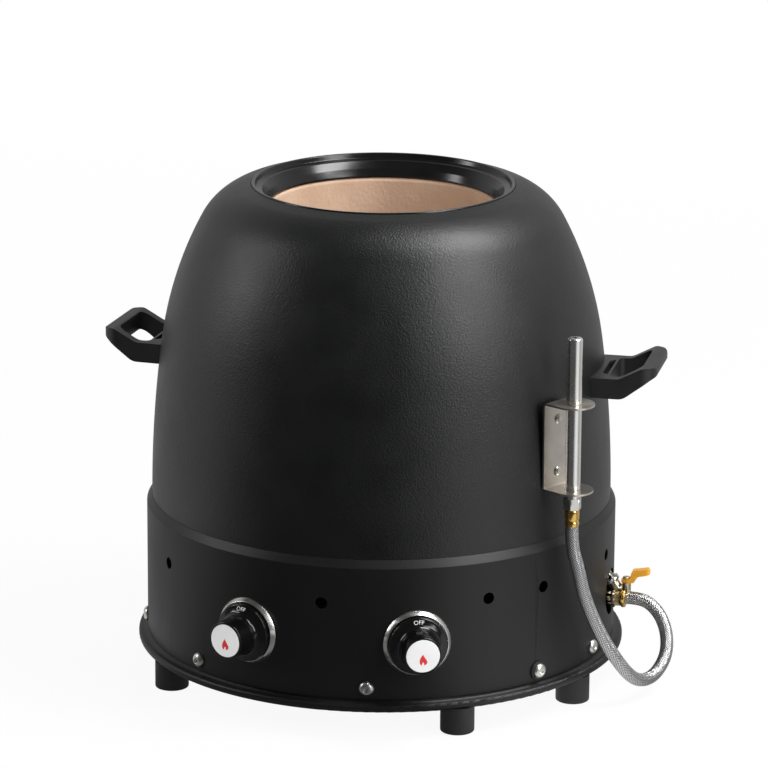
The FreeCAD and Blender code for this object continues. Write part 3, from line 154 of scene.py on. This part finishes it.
# The sky lights matt surfaces evenly. Gloss sees it dark in front and pale low down at the back.
SKY_LIGHT = 0.16
SKY_IN_GLOSS = 0.07
WALL_IN_GLOSS = 0.55             # what gloss sees in addition of a wall at the back
WALL_FADE_DOWN = (0.97, 0.50)    # height of a ray where the wall begins and where it is whole
WALL_FADE_BACK = (-0.2, 0.25)    # the same for how far the ray points to the back

world = bpy.data.worlds.new("studio")
scene.world = world
world.use_nodes = True
tree = world.node_tree
sky = tree.nodes["Background"]
sky.inputs["Color"].default_value = (1, 1, 1, 1)
sky.inputs["Strength"].default_value = SKY_LIGHT
way = node(tree, "ShaderNodeSeparateXYZ", node(tree, "ShaderNodeTexCoord").outputs["Generated"])
low = ramp(tree, way.outputs["Z"], *WALL_FADE_DOWN, 0.0, WALL_IN_GLOSS)
behind = ramp(tree, way.outputs["Y"], *WALL_FADE_BACK)
wall = maths(tree, "MULTIPLY_ADD", low, behind, i2=SKY_IN_GLOSS)
tree.links.new(white_backdrop(tree, sky.outputs[0], "ShaderNodeBackground", None, wall),
               tree.nodes["World Output"].inputs["Surface"])

# The floor is matt white and fades to pure white far behind. Gloss sees it dark in front, paler
# behind, and with two pale cards lying on it, one on each side.
FLOOR_REACH = 9.0
FLOOR_SHADE = 0.9
FLOOR_IN_GLOSS = (0.07, 0.5)     # what gloss sees of it in front and behind
GLOSS_FADE = (-0.5, 0.3)         # from where to where, in metres behind the oven's axis
FLOOR_SEEN_WHITE = (0.93, 1.0)   # share of plain white near the oven and far behind it
WHITE_FADE = (0.5, 2.5)          # from where to where
CARDS = ((56, 0.85), (-82, 0.55))   # azimuth and strength
CARD_EDGE = (0.86, 0.985)        # cosines of the angle from a card's middle where it fades

white_floor, tree, shader = material("white_floor", (FLOOR_SHADE,) * 3, 0.9)
shader.inputs["Specular IOR Level"].default_value = 0.0
spot = node(tree, "ShaderNodeTexCoord").outputs["Object"]
depth = node(tree, "ShaderNodeSeparateXYZ", spot).outputs["Y"]
sweep = ramp(tree, depth, *GLOSS_FADE, *FLOOR_IN_GLOSS)
outward = node(tree, "ShaderNodeVectorMath", spot, operation="NORMALIZE").outputs[0]
for azimuth, strength in CARDS:
    near = node(tree, "ShaderNodeVectorMath", outward, operation="DOT_PRODUCT",
                i1=bearing(azimuth)).outputs["Value"]
    card = ramp(tree, near, *CARD_EDGE, 0.0, strength, interpolation_type="SMOOTHSTEP")
    sweep = maths(tree, "MAXIMUM", sweep, card)
far = ramp(tree, depth, *WHITE_FADE, *FLOOR_SEEN_WHITE)
tree.links.new(white_backdrop(tree, shader.outputs[0], "ShaderNodeEmission", far, sweep),
               tree.nodes["Material Output"].inputs["Surface"])
floor_mesh = bpy.data.meshes.new("floor")
floor_mesh.from_pydata([(-FLOOR_REACH, -FLOOR_REACH, 0), (FLOOR_REACH, -FLOOR_REACH, 0),
                        (FLOOR_REACH, FLOOR_REACH, 0), (-FLOOR_REACH, FLOOR_REACH, 0)],
                       [], [(0, 1, 2, 3)])
floor_mesh.materials.append(white_floor)
floor = bpy.data.objects.new("floor", floor_mesh)
scene.collection.objects.link(floor)

# ------------------------------------------------------------------ lighting wand's hose
# A limp rubber hose in a braid of bright steel wires. It leaves the pilot valve level, loops down
# and climbs to the wand. Its line is the smooth curve of the route's points, and the braid's
# stitches are worked into its surface.

HOSE_ROUTE = ((268.5, 0, 87.5), (282.5, 0, 87.5), (295.2, -2.6, 82.2), (306.8, -8.0, 70.5),
              (314.0, -15.5, 53.5), (315.3, -28.0, 35.8), (308.7, -45.8, 22.8),
              (300.4, -64.0, 19.7), (291.2, -81.0, 25.2), (282.3, -94.0, 38.5),
              (272.3, -103.3, 56.5), (260.7, -111.8, 78.7), (250.0, -119.0, 104.7),
              (241.0, -126.0, 133.0), (236.5, -132.1, 161.7), (229.714, -134.122, 184.5),
              (229.714, -134.122, 206.5))
HOSE_RADIUS = 0.0066
HOSE_STEPS = 800                 # points along it, and round it
HOSE_ROUND = 112
BRAID_CARRIERS = 16              # bands of wires each way round
BRAID_PITCH = 0.044              # length in which a band goes once round
BRAID_RELIEF = 0.00070
STITCH_EDGE = (0.42, 0.78)       # share of a stitch's height where its steel starts and is whole; below it the braid is painted dark
PAINTED_WIRE_SHADE = (0.7, 1.0)          # painted shade between its wires, and full brightness on them
# dark between the stitches: partly the black rubber under the braid, partly painted shade in the
# recesses
GAP_RUBBER_AND_SHADE = (0.03, 0.03, 0.033)
WIRE_COLOUR = (0.92, 0.92, 0.92)

body_of = {name: body for body, names in frame["record"]["behaviour"]["bodies"].items()
           for name in names}


def shades(tree, share, dark, light):
    """Socket of a colour between dark and light, by a share from 0 to 1."""
    return node(tree, "ShaderNodeMix", share, data_type="RGBA", i6=(*dark, 1),
                i7=(*light, 1)).outputs[2]


def finished(name, mesh, finish, angle):
    """Object of a mesh: doubles merged, normals outwards, smooth up to an angle, with its
    material."""
    shape = bmesh.new()
    shape.from_mesh(mesh)
    bmesh.ops.remove_doubles(shape, verts=shape.verts, dist=2e-6)
    bmesh.ops.recalc_face_normals(shape, faces=shape.faces)
    shape.to_mesh(mesh)
    shape.free()
    mesh.shade_smooth()
    mesh.set_sharp_from_angle(angle=math.radians(angle))
    mesh.materials.clear()
    mesh.materials.append(finish)
    made = bpy.data.objects.new(name, mesh)
    scene.collection.objects.link(made)
    return made


def surface(name, points, finish, angle, closed=False, uv=None, relief=None):
    """Piece over a grid of points (rows, columns, 3) whose rows are rings, the last joined to the
    first where it is closed. uv has one column more than the points. relief is a value for each
    point that the material can read."""
    rows, columns = points.shape[:2]
    down = np.arange(rows if closed else rows - 1)[:, None]
    along = np.arange(columns)[None, :]
    below, beside = (down + 1) % rows, (along + 1) % columns
    faces = np.stack([down * columns + along, down * columns + beside,
                      below * columns + beside, below * columns + along], -1).reshape(-1, 4)
    mesh = bpy.data.meshes.new(name)
    mesh.from_pydata(points.reshape(-1, 3), [], faces)
    if uv is not None:
        wide = uv.shape[1]
        spots = np.stack([down * wide + along, down * wide + along + 1,
                          (down + 1) * wide + along + 1, (down + 1) * wide + along], -1)
        corners = uv.reshape(-1, 2)[spots.reshape(-1)]
        mesh.uv_layers.new(name="surface").data.foreach_set("uv", corners.reshape(-1))
    if relief is not None:
        kept = mesh.attributes.new("relief", "FLOAT", "POINT")
        kept.data.foreach_set("value", relief.reshape(-1))
    return finished(name, mesh, finish, angle)


def tube_along(line, reach):
    """Points round a line: the first normal is carried along it without twist, and the ring at
    each point of the line is reach * (cos, sin) of it and its binormal. reach is a grid (points of
    the line, points round)."""
    ahead = np.gradient(line, axis=0)
    ahead /= np.linalg.norm(ahead, axis=1, keepdims=True)
    side = np.empty_like(line)
    side[0] = np.cross(ahead[0], (0.0, 0.0, 1.0) if abs(ahead[0, 2]) < 0.9 else (1.0, 0.0, 0.0))
    for place in range(1, len(line)):
        side[place] = side[place - 1] - ahead[place] * (side[place - 1] @ ahead[place])
    side /= np.linalg.norm(side, axis=1, keepdims=True)
    other = np.cross(ahead, side)
    turn = np.arange(reach.shape[1]) * 2 * np.pi / reach.shape[1]
    return line[:, None] + reach[..., None] * (np.cos(turn)[None, :, None] * side[:, None]
                                               + np.sin(turn)[None, :, None] * other[:, None])


def smooth_line(name, points, steps):
    """Evenly spaced points of the NURBS curve whose control points are the route's, read from
    Blender's own spline, and how far along the curve each is."""
    curve = bpy.data.curves.new(name, "CURVE")
    curve.dimensions = "3D"
    spline = curve.splines.new("NURBS")
    spline.points.add(len(points) - 1)
    spline.points.foreach_set("co", np.column_stack([points, np.ones(len(points))]).reshape(-1))
    spline.order_u, spline.use_endpoint_u, spline.resolution_u = 3, True, 24
    holder = bpy.data.objects.new(name, curve)
    found = bpy.data.meshes.new_from_object(holder)
    line = np.empty(len(found.vertices) * 3)
    found.vertices.foreach_get("co", line)
    line = line.reshape(-1, 3)
    bpy.data.meshes.remove(found)
    bpy.data.objects.remove(holder)
    bpy.data.curves.remove(curve)
    run = np.concatenate([[0], np.cumsum(np.linalg.norm(np.diff(line, axis=0), axis=1))])
    even = np.linspace(0, run[-1], steps)
    return np.stack([np.interp(even, run, line[:, k]) for k in range(3)], 1), even


def braid_height(length, turn):
    """Height of a braid: two families of bands spiral against each other, and each goes over and
    under by the product of their waves, so the upper one's arch, from 0 to 1, is a basket of over
    and under stitches."""
    way = length / BRAID_PITCH * 2 * np.pi
    first = BRAID_CARRIERS / 2 * (turn + way)
    second = BRAID_CARRIERS / 2 * (turn - way)
    over = np.sin(first) * np.sin(second)
    return np.where(over > 0, np.abs(np.cos(first)), np.abs(np.cos(second)))


braid_steel, tree, shader = material("braided_steel", (0.74, 0.74, 0.75), 0.30, 1.0)
seams = node(tree, "ShaderNodeSeparateXYZ",
             node(tree, "ShaderNodeUVMap", uv_map="surface").outputs[0]).outputs
wires = []
for sense in (1.0, -1.0):
    slope = maths(tree, "MULTIPLY_ADD", seams["Y"], None, seams["X"],
                  i1=sense * 2 * math.pi / BRAID_PITCH)
    phase = maths(tree, "MULTIPLY", slope, i1=BRAID_CARRIERS * 2.0)
    wires.append(maths(tree, "SINE", phase))
# Painted shade: the steel is darker in stripes between its wires and lighter on them.
painted_wire_shade = ramp(tree, maths(tree, "MAXIMUM", *wires), -0.6, 1.0, *PAINTED_WIRE_SHADE)
relief = node(tree, "ShaderNodeAttribute", attribute_name="relief").outputs["Fac"]
bright = maths(tree, "MULTIPLY", ramp(tree, relief, *STITCH_EDGE), painted_wire_shade)
tree.links.new(shades(tree, bright, GAP_RUBBER_AND_SHADE, WIRE_COLOUR), shader.inputs["Base Color"])

hose_route = np.array(HOSE_ROUTE) / 1000
line, run = smooth_line("hose_line", hose_route, HOSE_STEPS)
turns = np.linspace(0, 2 * np.pi, HOSE_ROUND + 1)
crowns = braid_height(run[:, None], turns[None, :-1])
ring = tube_along(line, HOSE_RADIUS - BRAID_RELIEF / 2 + BRAID_RELIEF * crowns)
hose_uv = np.stack(np.broadcast_arrays(turns[None, :], run[:, None]), -1)
hose = surface("braided_hose", ring, braid_steel, 70, uv=hose_uv, relief=crowns)
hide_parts("pilot_hose")
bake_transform(hose)

# ------------------------------------------------------------------ powder-coated sheet steel
# The bell is spun from steel sheet and stands on the rim of the pot's shelf, inside the top of the
# rolled skirt, which is screwed to the pan. All have a black powder coat with broad, soft
# highlights and an orange peel that is coarser on the bell.

BELL_START = (244.4, 189.0)      # radius and height, in millimetres, where the bell starts to curve
BELL_LEAN = 0.1                  # angle of the wall's normal there, in degrees
BELL_ARCS = ((1265.0, 7.8), (385.0, 28.0), (72.3, 80.7))   # radius, and the normal at its end
BELL_FOOT = (244.4, 160.0)
BELL_SHEET = 1.5
CREASE_REACH = 0.154             # radius, in metres, of the crease round the mouth
CREASE_FLATNESS = 0.8            # share by which the wall inside the crease is flattened
COLOUR_NOISE = (0.35, 0.65)      # slow noise at which a coat has its darker and its lighter shade
ROUGH_NOISE = (0.3, 0.7)         # the same for its smoother and its rougher patches


def fine_surface():
    """Group with a bump's height, from a quick noise, and a slow variation, from a second noise,
    both on object coordinates."""
    group = bpy.data.node_groups.new("fine_surface", "ShaderNodeTree")
    for label, value in (("Grain", 600.0), ("Patches", 9.0)):
        group.interface.new_socket(label, in_out="INPUT",
                                   socket_type="NodeSocketFloat").default_value = value
    for label in ("Height", "Slow"):
        group.interface.new_socket(label, in_out="OUTPUT", socket_type="NodeSocketFloat")
    given, result = group.nodes.new("NodeGroupInput"), group.nodes.new("NodeGroupOutput")
    place = node(group, "ShaderNodeTexCoord")
    for scale, detail, label in (("Grain", 3.0, "Height"), ("Patches", 4.0, "Slow")):
        noise = node(group, "ShaderNodeTexNoise", noise_dimensions="3D")
        noise.inputs["Detail"].default_value = detail
        group.links.new(place.outputs["Object"], noise.inputs["Vector"])
        group.links.new(given.outputs[scale], noise.inputs["Scale"])
        group.links.new(noise.outputs[0], result.inputs[label])
    return group


skin = fine_surface()


def textured(name, dark, light, rough, grain, depth, metallic=0.0, patches=9.0, gloss=0.5):
    """Material whose colour runs between two shades and whose roughness runs over a range, both in
    patches, with a bump of the given grain (per metre) and depth (metres)."""
    made, tree, shader = material(name, dark, rough[0], metallic)
    shader.inputs["Specular IOR Level"].default_value = gloss
    look = node(tree, "ShaderNodeGroup", node_tree=skin)
    look.inputs["Grain"].default_value = grain
    look.inputs["Patches"].default_value = patches
    slow = look.outputs["Slow"]
    tree.links.new(shades(tree, ramp(tree, slow, *COLOUR_NOISE), dark, light),
                   shader.inputs["Base Color"])
    tree.links.new(ramp(tree, slow, *ROUGH_NOISE, *rough), shader.inputs["Roughness"])
    bump = node(tree, "ShaderNodeBump")
    bump.inputs["Strength"].default_value = 1.0
    bump.inputs["Distance"].default_value = depth
    tree.links.new(look.outputs["Height"], bump.inputs["Height"])
    tree.links.new(bump.outputs[0], shader.inputs["Normal"])
    return made


def seated(piece, *names):
    """Puts a piece in the place of its CAD nodes: on their body, with the nodes hidden."""
    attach(piece, body_of[names[0]])
    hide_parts(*names)


def joined(name, finish, *names, angle=30, bevel=0.0):
    """One piece of CAD nodes' own shapes: triangles merged, flat faces dissolved where an edge is
    to be rounded, and shaded smooth up to an angle."""
    shape = bmesh.new()
    for label in names:
        shape.from_mesh(frame["nodes"][label].data)
    bmesh.ops.remove_doubles(shape, verts=shape.verts, dist=5e-6)
    if bevel:
        bmesh.ops.dissolve_limit(shape, angle_limit=math.radians(1.0), verts=shape.verts,
                                 edges=shape.edges)
    mesh = bpy.data.meshes.new(name)
    shape.to_mesh(mesh)
    shape.free()
    piece = finished(name, mesh, finish, angle)
    if bevel:
        soft = piece.modifiers.new("soft_edges", "BEVEL")
        soft.width, soft.segments = bevel, 3
        soft.limit_method, soft.angle_limit = "ANGLE", math.radians(40)
        soft.harden_normals = True
    seated(piece, *names)


def arcs_from(start, angle, arcs, offset, steps):
    """Polyline of tangent arcs from a point, each (radius, angle of its outward normal at its
    end), moved outwards by an offset, in millimetres. Returned in metres."""
    x, z = start
    line, angle = [], math.radians(angle)
    for radius, end in arcs:
        end = math.radians(end)
        centre = np.array([x - radius * math.cos(angle), z - radius * math.sin(angle)])
        turn = np.linspace(angle, end, steps)[:, None]
        line.append(centre + (radius + offset) * np.concatenate([np.cos(turn), np.sin(turn)], 1))
        x, z = centre + radius * np.array([math.cos(end), math.sin(end)])
        angle = end
    return np.concatenate(line) / 1000


def revolved(name, profile, finish, segments):
    """Surface of revolution: each point (radius, height) of the closed profile goes round Z as
    radius * (sin t, -cos t)."""
    turn = np.arange(segments) * 2 * np.pi / segments
    circle = np.stack([np.sin(turn), -np.cos(turn)], 1)
    height = np.broadcast_to(profile[:, None, 1:], (len(profile), segments, 1))
    points = np.concatenate([profile[:, None, :1] * circle[None], height], 2)
    return surface(name, points, finish, 40, closed=True)


bell_coat = textured("bell_powder_coat", (0.0022, 0.0025, 0.0030), (0.0034, 0.0038, 0.0045),
                     rough=(0.39, 0.46), grain=520, depth=0.00042, patches=22, gloss=0.66)
skirt_coat = textured("skirt_powder_coat", (0.0024, 0.0026, 0.0029), (0.0034, 0.0037, 0.0041),
                      rough=(0.42, 0.50), grain=900, depth=0.00004, patches=8)

bell_out = arcs_from(BELL_START, BELL_LEAN, BELL_ARCS, 0.0, steps=40)
bell_in = arcs_from(BELL_START, BELL_LEAN, BELL_ARCS, -BELL_SHEET, steps=16)
crown = bell_out[:, 0] < CREASE_REACH
chord = bell_out[[-1, np.argmax(crown)]]
flat = np.interp(bell_out[crown, 0], chord[:, 0], chord[:, 1])
bell_out[crown, 1] += CREASE_FLATNESS * (flat - bell_out[crown, 1])
bell_foot = np.array([BELL_FOOT]) / 1000
bell_profile = np.concatenate([bell_foot, bell_out, bell_in[::-1],
                               bell_foot - [[BELL_SHEET / 1000, 0]]])
seated(revolved("bell", bell_profile, bell_coat, 288), "bell_shell")
joined("skirt_wall", skirt_coat, "skirt")
joined("pan", skirt_coat, "base_pan")
joined("shelf_and_legs", skirt_coat, "pot_shelf", "support_legs")

# ------------------------------------------------------------------ feet and screws
# Solid rubber feet are bolted under the pan. Satin stainless screws go through the skirt, one of
# them on a rubber washer, and through the wand's bracket, and a rubber grommet fills the skirt's
# hole round the gas inlet.

rubber = textured("foot_rubber", (0.010, 0.010, 0.010), (0.016, 0.016, 0.016),
                  rough=(0.5, 0.62), grain=1400, depth=0.00003)
satin_steel = textured("satin_stainless", (0.72, 0.70, 0.66), (0.80, 0.78, 0.74),
                       rough=(0.28, 0.38), grain=2500, depth=0.000006, metallic=1, patches=120)
joined("rubber_feet", rubber, "feet")
joined("skirt_screw_heads", satin_steel, "skirt_screws")
joined("bracket_screw_heads", satin_steel, "bracket_screws", "bracket_spacers")
joined("screw_washer", rubber, "rubber_washer")
joined("grommet", rubber, "inlet_grommet")

# ------------------------------------------------------------------ mouth ring and clay pot
# A funnel ring pressed from sheet and enamelled black, with a beaded rim and a narrow ledge, closes
# the gap between the bell's edge and the thick, unglazed, hand-made clay pot that stands in the
# fill.

BEAD_HEIGHT = 1.3                # millimetres above the bell's edge
LEDGE_RADIUS, LEDGE_DEPTH = 127.2, 5.6
CONE_RADIUS, CONE_DEPTH = 121.6, 13.0
THROAT_RADIUS, THROAT_DEPTH = 117.8, 21.9
TUCK_DEPTH = 17.0                # how far the ring's collar reaches down inside the bell


def rounded(*corners, steps=6):
    """Polyline (radius, height) through corners (x, z) or (x, z, fillet), in millimetres: an arc
    tangent to both sides at each fillet. Returned in metres."""
    spots = np.array([corner[:2] for corner in corners], float)
    line = []
    for k, corner in enumerate(corners):
        if len(corner) < 3:
            line.append(spots[k][None])
            continue
        back = spots[k - 1] - spots[k]
        ahead = spots[(k + 1) % len(spots)] - spots[k]
        back, ahead = back / np.linalg.norm(back), ahead / np.linalg.norm(ahead)
        half = math.acos(np.clip(back @ ahead, -1, 1)) / 2
        middle = (back + ahead) / np.linalg.norm(back + ahead)
        centre = spots[k] + middle * corner[2] / math.sin(half)
        begin = spots[k] + back * corner[2] / math.tan(half) - centre
        finish = spots[k] + ahead * corner[2] / math.tan(half) - centre
        sweep = math.atan2(begin[0] * finish[1] - begin[1] * finish[0], begin @ finish)
        turn = np.linspace(0, sweep, steps + 1)[:, None]
        quarter = np.array([-begin[1], begin[0]])
        line.append(centre + begin * np.cos(turn) + quarter * np.sin(turn))
    return np.concatenate(line) / 1000


ring_enamel = textured("black_enamel", (0.004, 0.004, 0.004), (0.006, 0.006, 0.006),
                       rough=(0.16, 0.26), grain=300, depth=0.00002, patches=20)
clay = textured("unglazed_clay", (0.62, 0.42, 0.29), (0.72, 0.52, 0.38),
                rough=(0.85, 0.95), grain=260, depth=0.0005, patches=18)
rim, top = bell_out[-1] * 1000 - (0.5, 0.0)
ring_profile = rounded(
    (rim, top - 1.0, 0.5), (rim - 0.3, top + BEAD_HEIGHT, 1.1), (rim - 3.6, top + 1.0, 1.3),
    (rim - 5.2, top - 4.2, 1.6), (LEDGE_RADIUS, top - LEDGE_DEPTH, 1.2),
    (CONE_RADIUS, top - CONE_DEPTH, 2.5), (THROAT_RADIUS, top - THROAT_DEPTH + 2.0, 0.6),
    (THROAT_RADIUS, top - THROAT_DEPTH), (THROAT_RADIUS + 1.5, top - THROAT_DEPTH),
    (CONE_RADIUS + 1.6, top - CONE_DEPTH - 0.6, 2.0),
    (LEDGE_RADIUS + 1.0, top - LEDGE_DEPTH - 2.0, 1.0), (rim - 2.0, top - 6.6),
    (rim - 2.0, top - TUCK_DEPTH), (rim, top - TUCK_DEPTH))
seated(revolved("funnel_ring", ring_profile, ring_enamel, 240), "mouth_ring")
joined("pot", clay, "clay_pot", angle=40)

# ------------------------------------------------------------------ knobs
# Each tap has a bright stainless bezel on the skirt, a glossy black moulded knob pressed on its
# stem, and a pale grey cap with a red flame let into the knob. OFF is printed in black at the top
# of the bezel and in white on the knob's flange.

KNOB_AZIMUTH = 20.8
KNOB_HEIGHT = 0.1011
BEZEL_WORD = dict(size=0.0046, middle=(0.0335, 0.25412), slope=(0.0036, -0.0049))
KNOB_WORD = dict(size=0.0062, middle=(0.0262, 0.26272), slope=(0.0051, -0.0021))
FLAME = dict(height=0.0124, width=0.0039, lean=0.0004, below=0.0100, reach=0.2913)
FLAME_HOLLOW = dict(height=0.0042, width=0.0012, lean=0.0, below=0.0101, reach=0.29135)
WORD_THICKNESS = 0.00004
FLAME_THICKNESS = 0.00005

bezel_steel = textured("bezel_stainless", (0.80, 0.79, 0.76), (0.88, 0.87, 0.84),
                       rough=(0.20, 0.30), grain=900, depth=0.000008, metallic=1, patches=60)
gloss_black = textured("gloss_black", (0.0035, 0.0035, 0.0035), (0.0045, 0.0045, 0.0045),
                       rough=(0.10, 0.18), grain=700, depth=0.000004, patches=60)
cap_grey = textured("cap_grey", (0.80, 0.80, 0.80), (0.84, 0.84, 0.84),
                    rough=(0.32, 0.42), grain=900, depth=0.000006, patches=60)
print_black = textured("black_print", (0.004, 0.004, 0.004), (0.006, 0.006, 0.006),
                       rough=(0.4, 0.5), grain=2000, depth=0.000003)
print_white = textured("white_print", (0.82, 0.82, 0.82), (0.88, 0.88, 0.88),
                       rough=(0.4, 0.5), grain=2000, depth=0.000003)
print_red = textured("red_print", (0.62, 0.012, 0.016), (0.70, 0.020, 0.022),
                     rough=(0.35, 0.45), grain=2000, depth=0.000003)


def on_knob(across, down, reach, azimuth):
    """Points of a knob's print, laid out on its azimuth: reach goes out from the oven's axis,
    across goes round to the knob's right, and down is below the knob's axis."""
    around = math.radians(azimuth)
    return np.stack([reach * math.sin(around) + across * math.cos(around),
                     -reach * math.cos(around) + across * math.sin(around),
                     KNOB_HEIGHT - down], -1)


def ring_word(name, word, size, middle, slope, finish, azimuth):
    """A word bent round a knob's axis on a cone: across is an arc at the radius of the point middle
    (radius, reach), and up runs along the cone's slope (radius, reach) away from the axis."""
    letters = bpy.data.curves.new(name, "FONT")
    letters.body, letters.size, letters.align_x, letters.align_y = word, size, "CENTER", "CENTER"
    letters.extrude, letters.resolution_u = WORD_THICKNESS, 4
    holder = bpy.data.objects.new(name, letters)
    mesh = bpy.data.meshes.new_from_object(holder)
    bpy.data.objects.remove(holder)
    bpy.data.curves.remove(letters)
    flat = np.empty(len(mesh.vertices) * 3)
    mesh.vertices.foreach_get("co", flat)
    along, up, out = flat.reshape(-1, 3).T
    slope = np.array(slope) / np.linalg.norm(slope)
    bend = along / middle[0]
    radius = middle[0] + up * slope[0] - out * slope[1]
    reach = middle[1] + up * slope[1] + out * slope[0]
    spots = on_knob(radius * np.sin(bend), -radius * np.cos(bend), reach, azimuth)
    mesh.vertices.foreach_set("co", spots.reshape(-1))
    mesh.name = name
    return finished(name, mesh, finish, 30)


def printed_drop(name, height, width, lean, below, reach, finish, azimuth):
    """A flame's drop, printed on a cap, its foot below the cap's middle: half its width is
    width * 3.4 * t ** 0.6 * (1 - t) ** 1.4 at the share t of its height, its middle leans by
    lean * sin(2 pi t), and its thickness is a thin lens."""
    share = np.linspace(0, 1, 41)[:, None]
    turn = np.linspace(0, 2 * np.pi, 33)[None, :-1]
    half = width * 3.4 * share ** 0.6 * (1 - share) ** 1.4
    across = half * np.cos(turn) + lean * np.sin(2 * np.pi * share)
    out = reach + FLAME_THICKNESS * np.sin(np.pi * share) * np.sin(turn)
    down = below - height * share + 0 * turn
    return surface(name, on_knob(across, down, out, azimuth), finish, 60)


def printed_on(piece, label):
    """A print moves with its CAD node's body; the node stays in sight."""
    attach(piece, body_of[label])


for side_name, azimuth in (("left", -KNOB_AZIMUTH), ("right", KNOB_AZIMUTH)):
    bezel, knob, cap = side_name + "_bezel", side_name + "_knob", side_name + "_knob_cap"
    joined(side_name + "_bezel_ring", bezel_steel, bezel)
    joined(side_name + "_knob_body", gloss_black, knob)
    joined(side_name + "_cap", cap_grey, cap)
    printed_on(ring_word(side_name + "_bezel_word", "OFF", **BEZEL_WORD, finish=print_black,
                         azimuth=azimuth), bezel)
    printed_on(ring_word(side_name + "_knob_word", "OFF", **KNOB_WORD, finish=print_white,
                         azimuth=azimuth), knob)
    printed_on(printed_drop(side_name + "_flame", **FLAME, finish=print_red,
                            azimuth=azimuth), cap)
    printed_on(printed_drop(side_name + "_flame_drop", **FLAME_HOLLOW, finish=cap_grey,
                            azimuth=azimuth), cap)

# ------------------------------------------------------------------ handles
# Loop handles moulded in black plastic with a fine spark texture and softened edges, bolted on from
# inside the bell.

HANDLE_EDGE = 0.0016

handle_plastic = textured("handle_plastic", (0.010, 0.0102, 0.0105), (0.014, 0.0142, 0.0146),
                          rough=(0.36, 0.46), grain=1600, depth=0.00003, patches=30)
for side_name in ("left", "right"):
    joined(side_name + "_loop_handle", handle_plastic, side_name + "_handle", bevel=HANDLE_EDGE)

# ------------------------------------------------------------------ pilot valve
# Cast and turned brass, held in the skirt's hole by a plated union nut on the gas pipe. A ring of
# brighter brass is round its outlet, and a cranked lever in orange enamel turns its stem.

LEVER_EDGE = 0.0007

valve_brass = textured("valve_brass", (0.60, 0.50, 0.33), (0.70, 0.60, 0.42),
                       rough=(0.22, 0.34), grain=1500, depth=0.00001, metallic=1, patches=80)
bright_brass = textured("bright_brass", (0.80, 0.50, 0.12), (0.88, 0.60, 0.20),
                        rough=(0.16, 0.26), grain=1500, depth=0.000008, metallic=1, patches=80)
nickel = textured("nickel_plate", (0.66, 0.63, 0.58), (0.74, 0.71, 0.66),
                  rough=(0.12, 0.2), grain=1500, depth=0.000005, metallic=1, patches=80)
lever_enamel = textured("lever_enamel", (0.76, 0.34, 0.012), (0.82, 0.39, 0.02),
                        rough=(0.22, 0.3), grain=500, depth=0.00002, patches=60)
joined("valve_casting", valve_brass, "pilot_valve_body", "pilot_stem")
joined("outlet_ring", bright_brass, "pilot_retaining_ring")
joined("union_nut", nickel, "pilot_union_nut", "pilot_feed_pipe")
joined("cranked_lever", lever_enamel, "pilot_lever", bevel=LEVER_EDGE)

# ------------------------------------------------------------------ lighting wand and bracket
# A bright steel tube with a hexagon nut, and below it the brass ferrule crimped on its hose, stands
# in a bracket bent from brushed stainless plate, which is screwed to the bell on two bushes.

bracket_steel = textured("brushed_plate", (0.66, 0.61, 0.55), (0.76, 0.71, 0.65),
                         rough=(0.30, 0.40), grain=1200, depth=0.00001, metallic=1, patches=50)
tube_steel = textured("bright_tube", (0.86, 0.85, 0.83), (0.90, 0.89, 0.87),
                      rough=(0.22, 0.30), grain=1200, depth=0.000004, metallic=1, patches=50)
joined("plate_bracket", bracket_steel, "wand_bracket")
joined("burner_tube", tube_steel, "wand_tube")
joined("hex_nut", satin_steel, "wand_nut")
joined("crimped_ferrule", bright_brass, "wand_ferrule")

# ------------------------------------------------------------------ inside and below
# Cast iron ring burners under a heat-tinted steel guard, zinc-plated pipe and fixings, brass taps,
# and the fill cast round the pot. They show through the mouth, the vents and the pan's holes.

cast_iron = textured("cast_iron", (0.035, 0.033, 0.032), (0.055, 0.052, 0.05),
                     rough=(0.6, 0.8), grain=800, depth=0.0002)
zinc = textured("zinc_steel", (0.45, 0.46, 0.47), (0.55, 0.56, 0.57),
                rough=(0.32, 0.45), grain=900, depth=0.00001, metallic=1, patches=60)
heat_steel = textured("heat_tinted_steel", (0.32, 0.28, 0.24), (0.45, 0.42, 0.40),
                      rough=(0.35, 0.5), grain=700, depth=0.00002, metallic=1, patches=25)
fill_cast = textured("castable_fill", (0.55, 0.53, 0.48), (0.66, 0.64, 0.59),
                     rough=(0.9, 1.0), grain=300, depth=0.0004)
for finish, names in (
        (cast_iron, ("burner_outer", "burner_inner")),
        (heat_steel, ("flame_guard",)),
        (fill_cast, ("insulation_fill",)),
        (zinc, ("foot_bolts", "skirt_nuts", "leg_bolts", "burner_stand", "air_shutters",
                "valve_clamps", "left_valve_stem", "right_valve_stem", "left_spring_seat",
                "right_spring_seat", "handle_bolts", "gas_manifold")),
        (valve_brass, ("left_valve_body", "right_valve_body", "inlet_fitting"))):
    for label in names:
        mesh = frame["nodes"][label].data
        mesh.materials.clear()
        mesh.materials.append(finish)
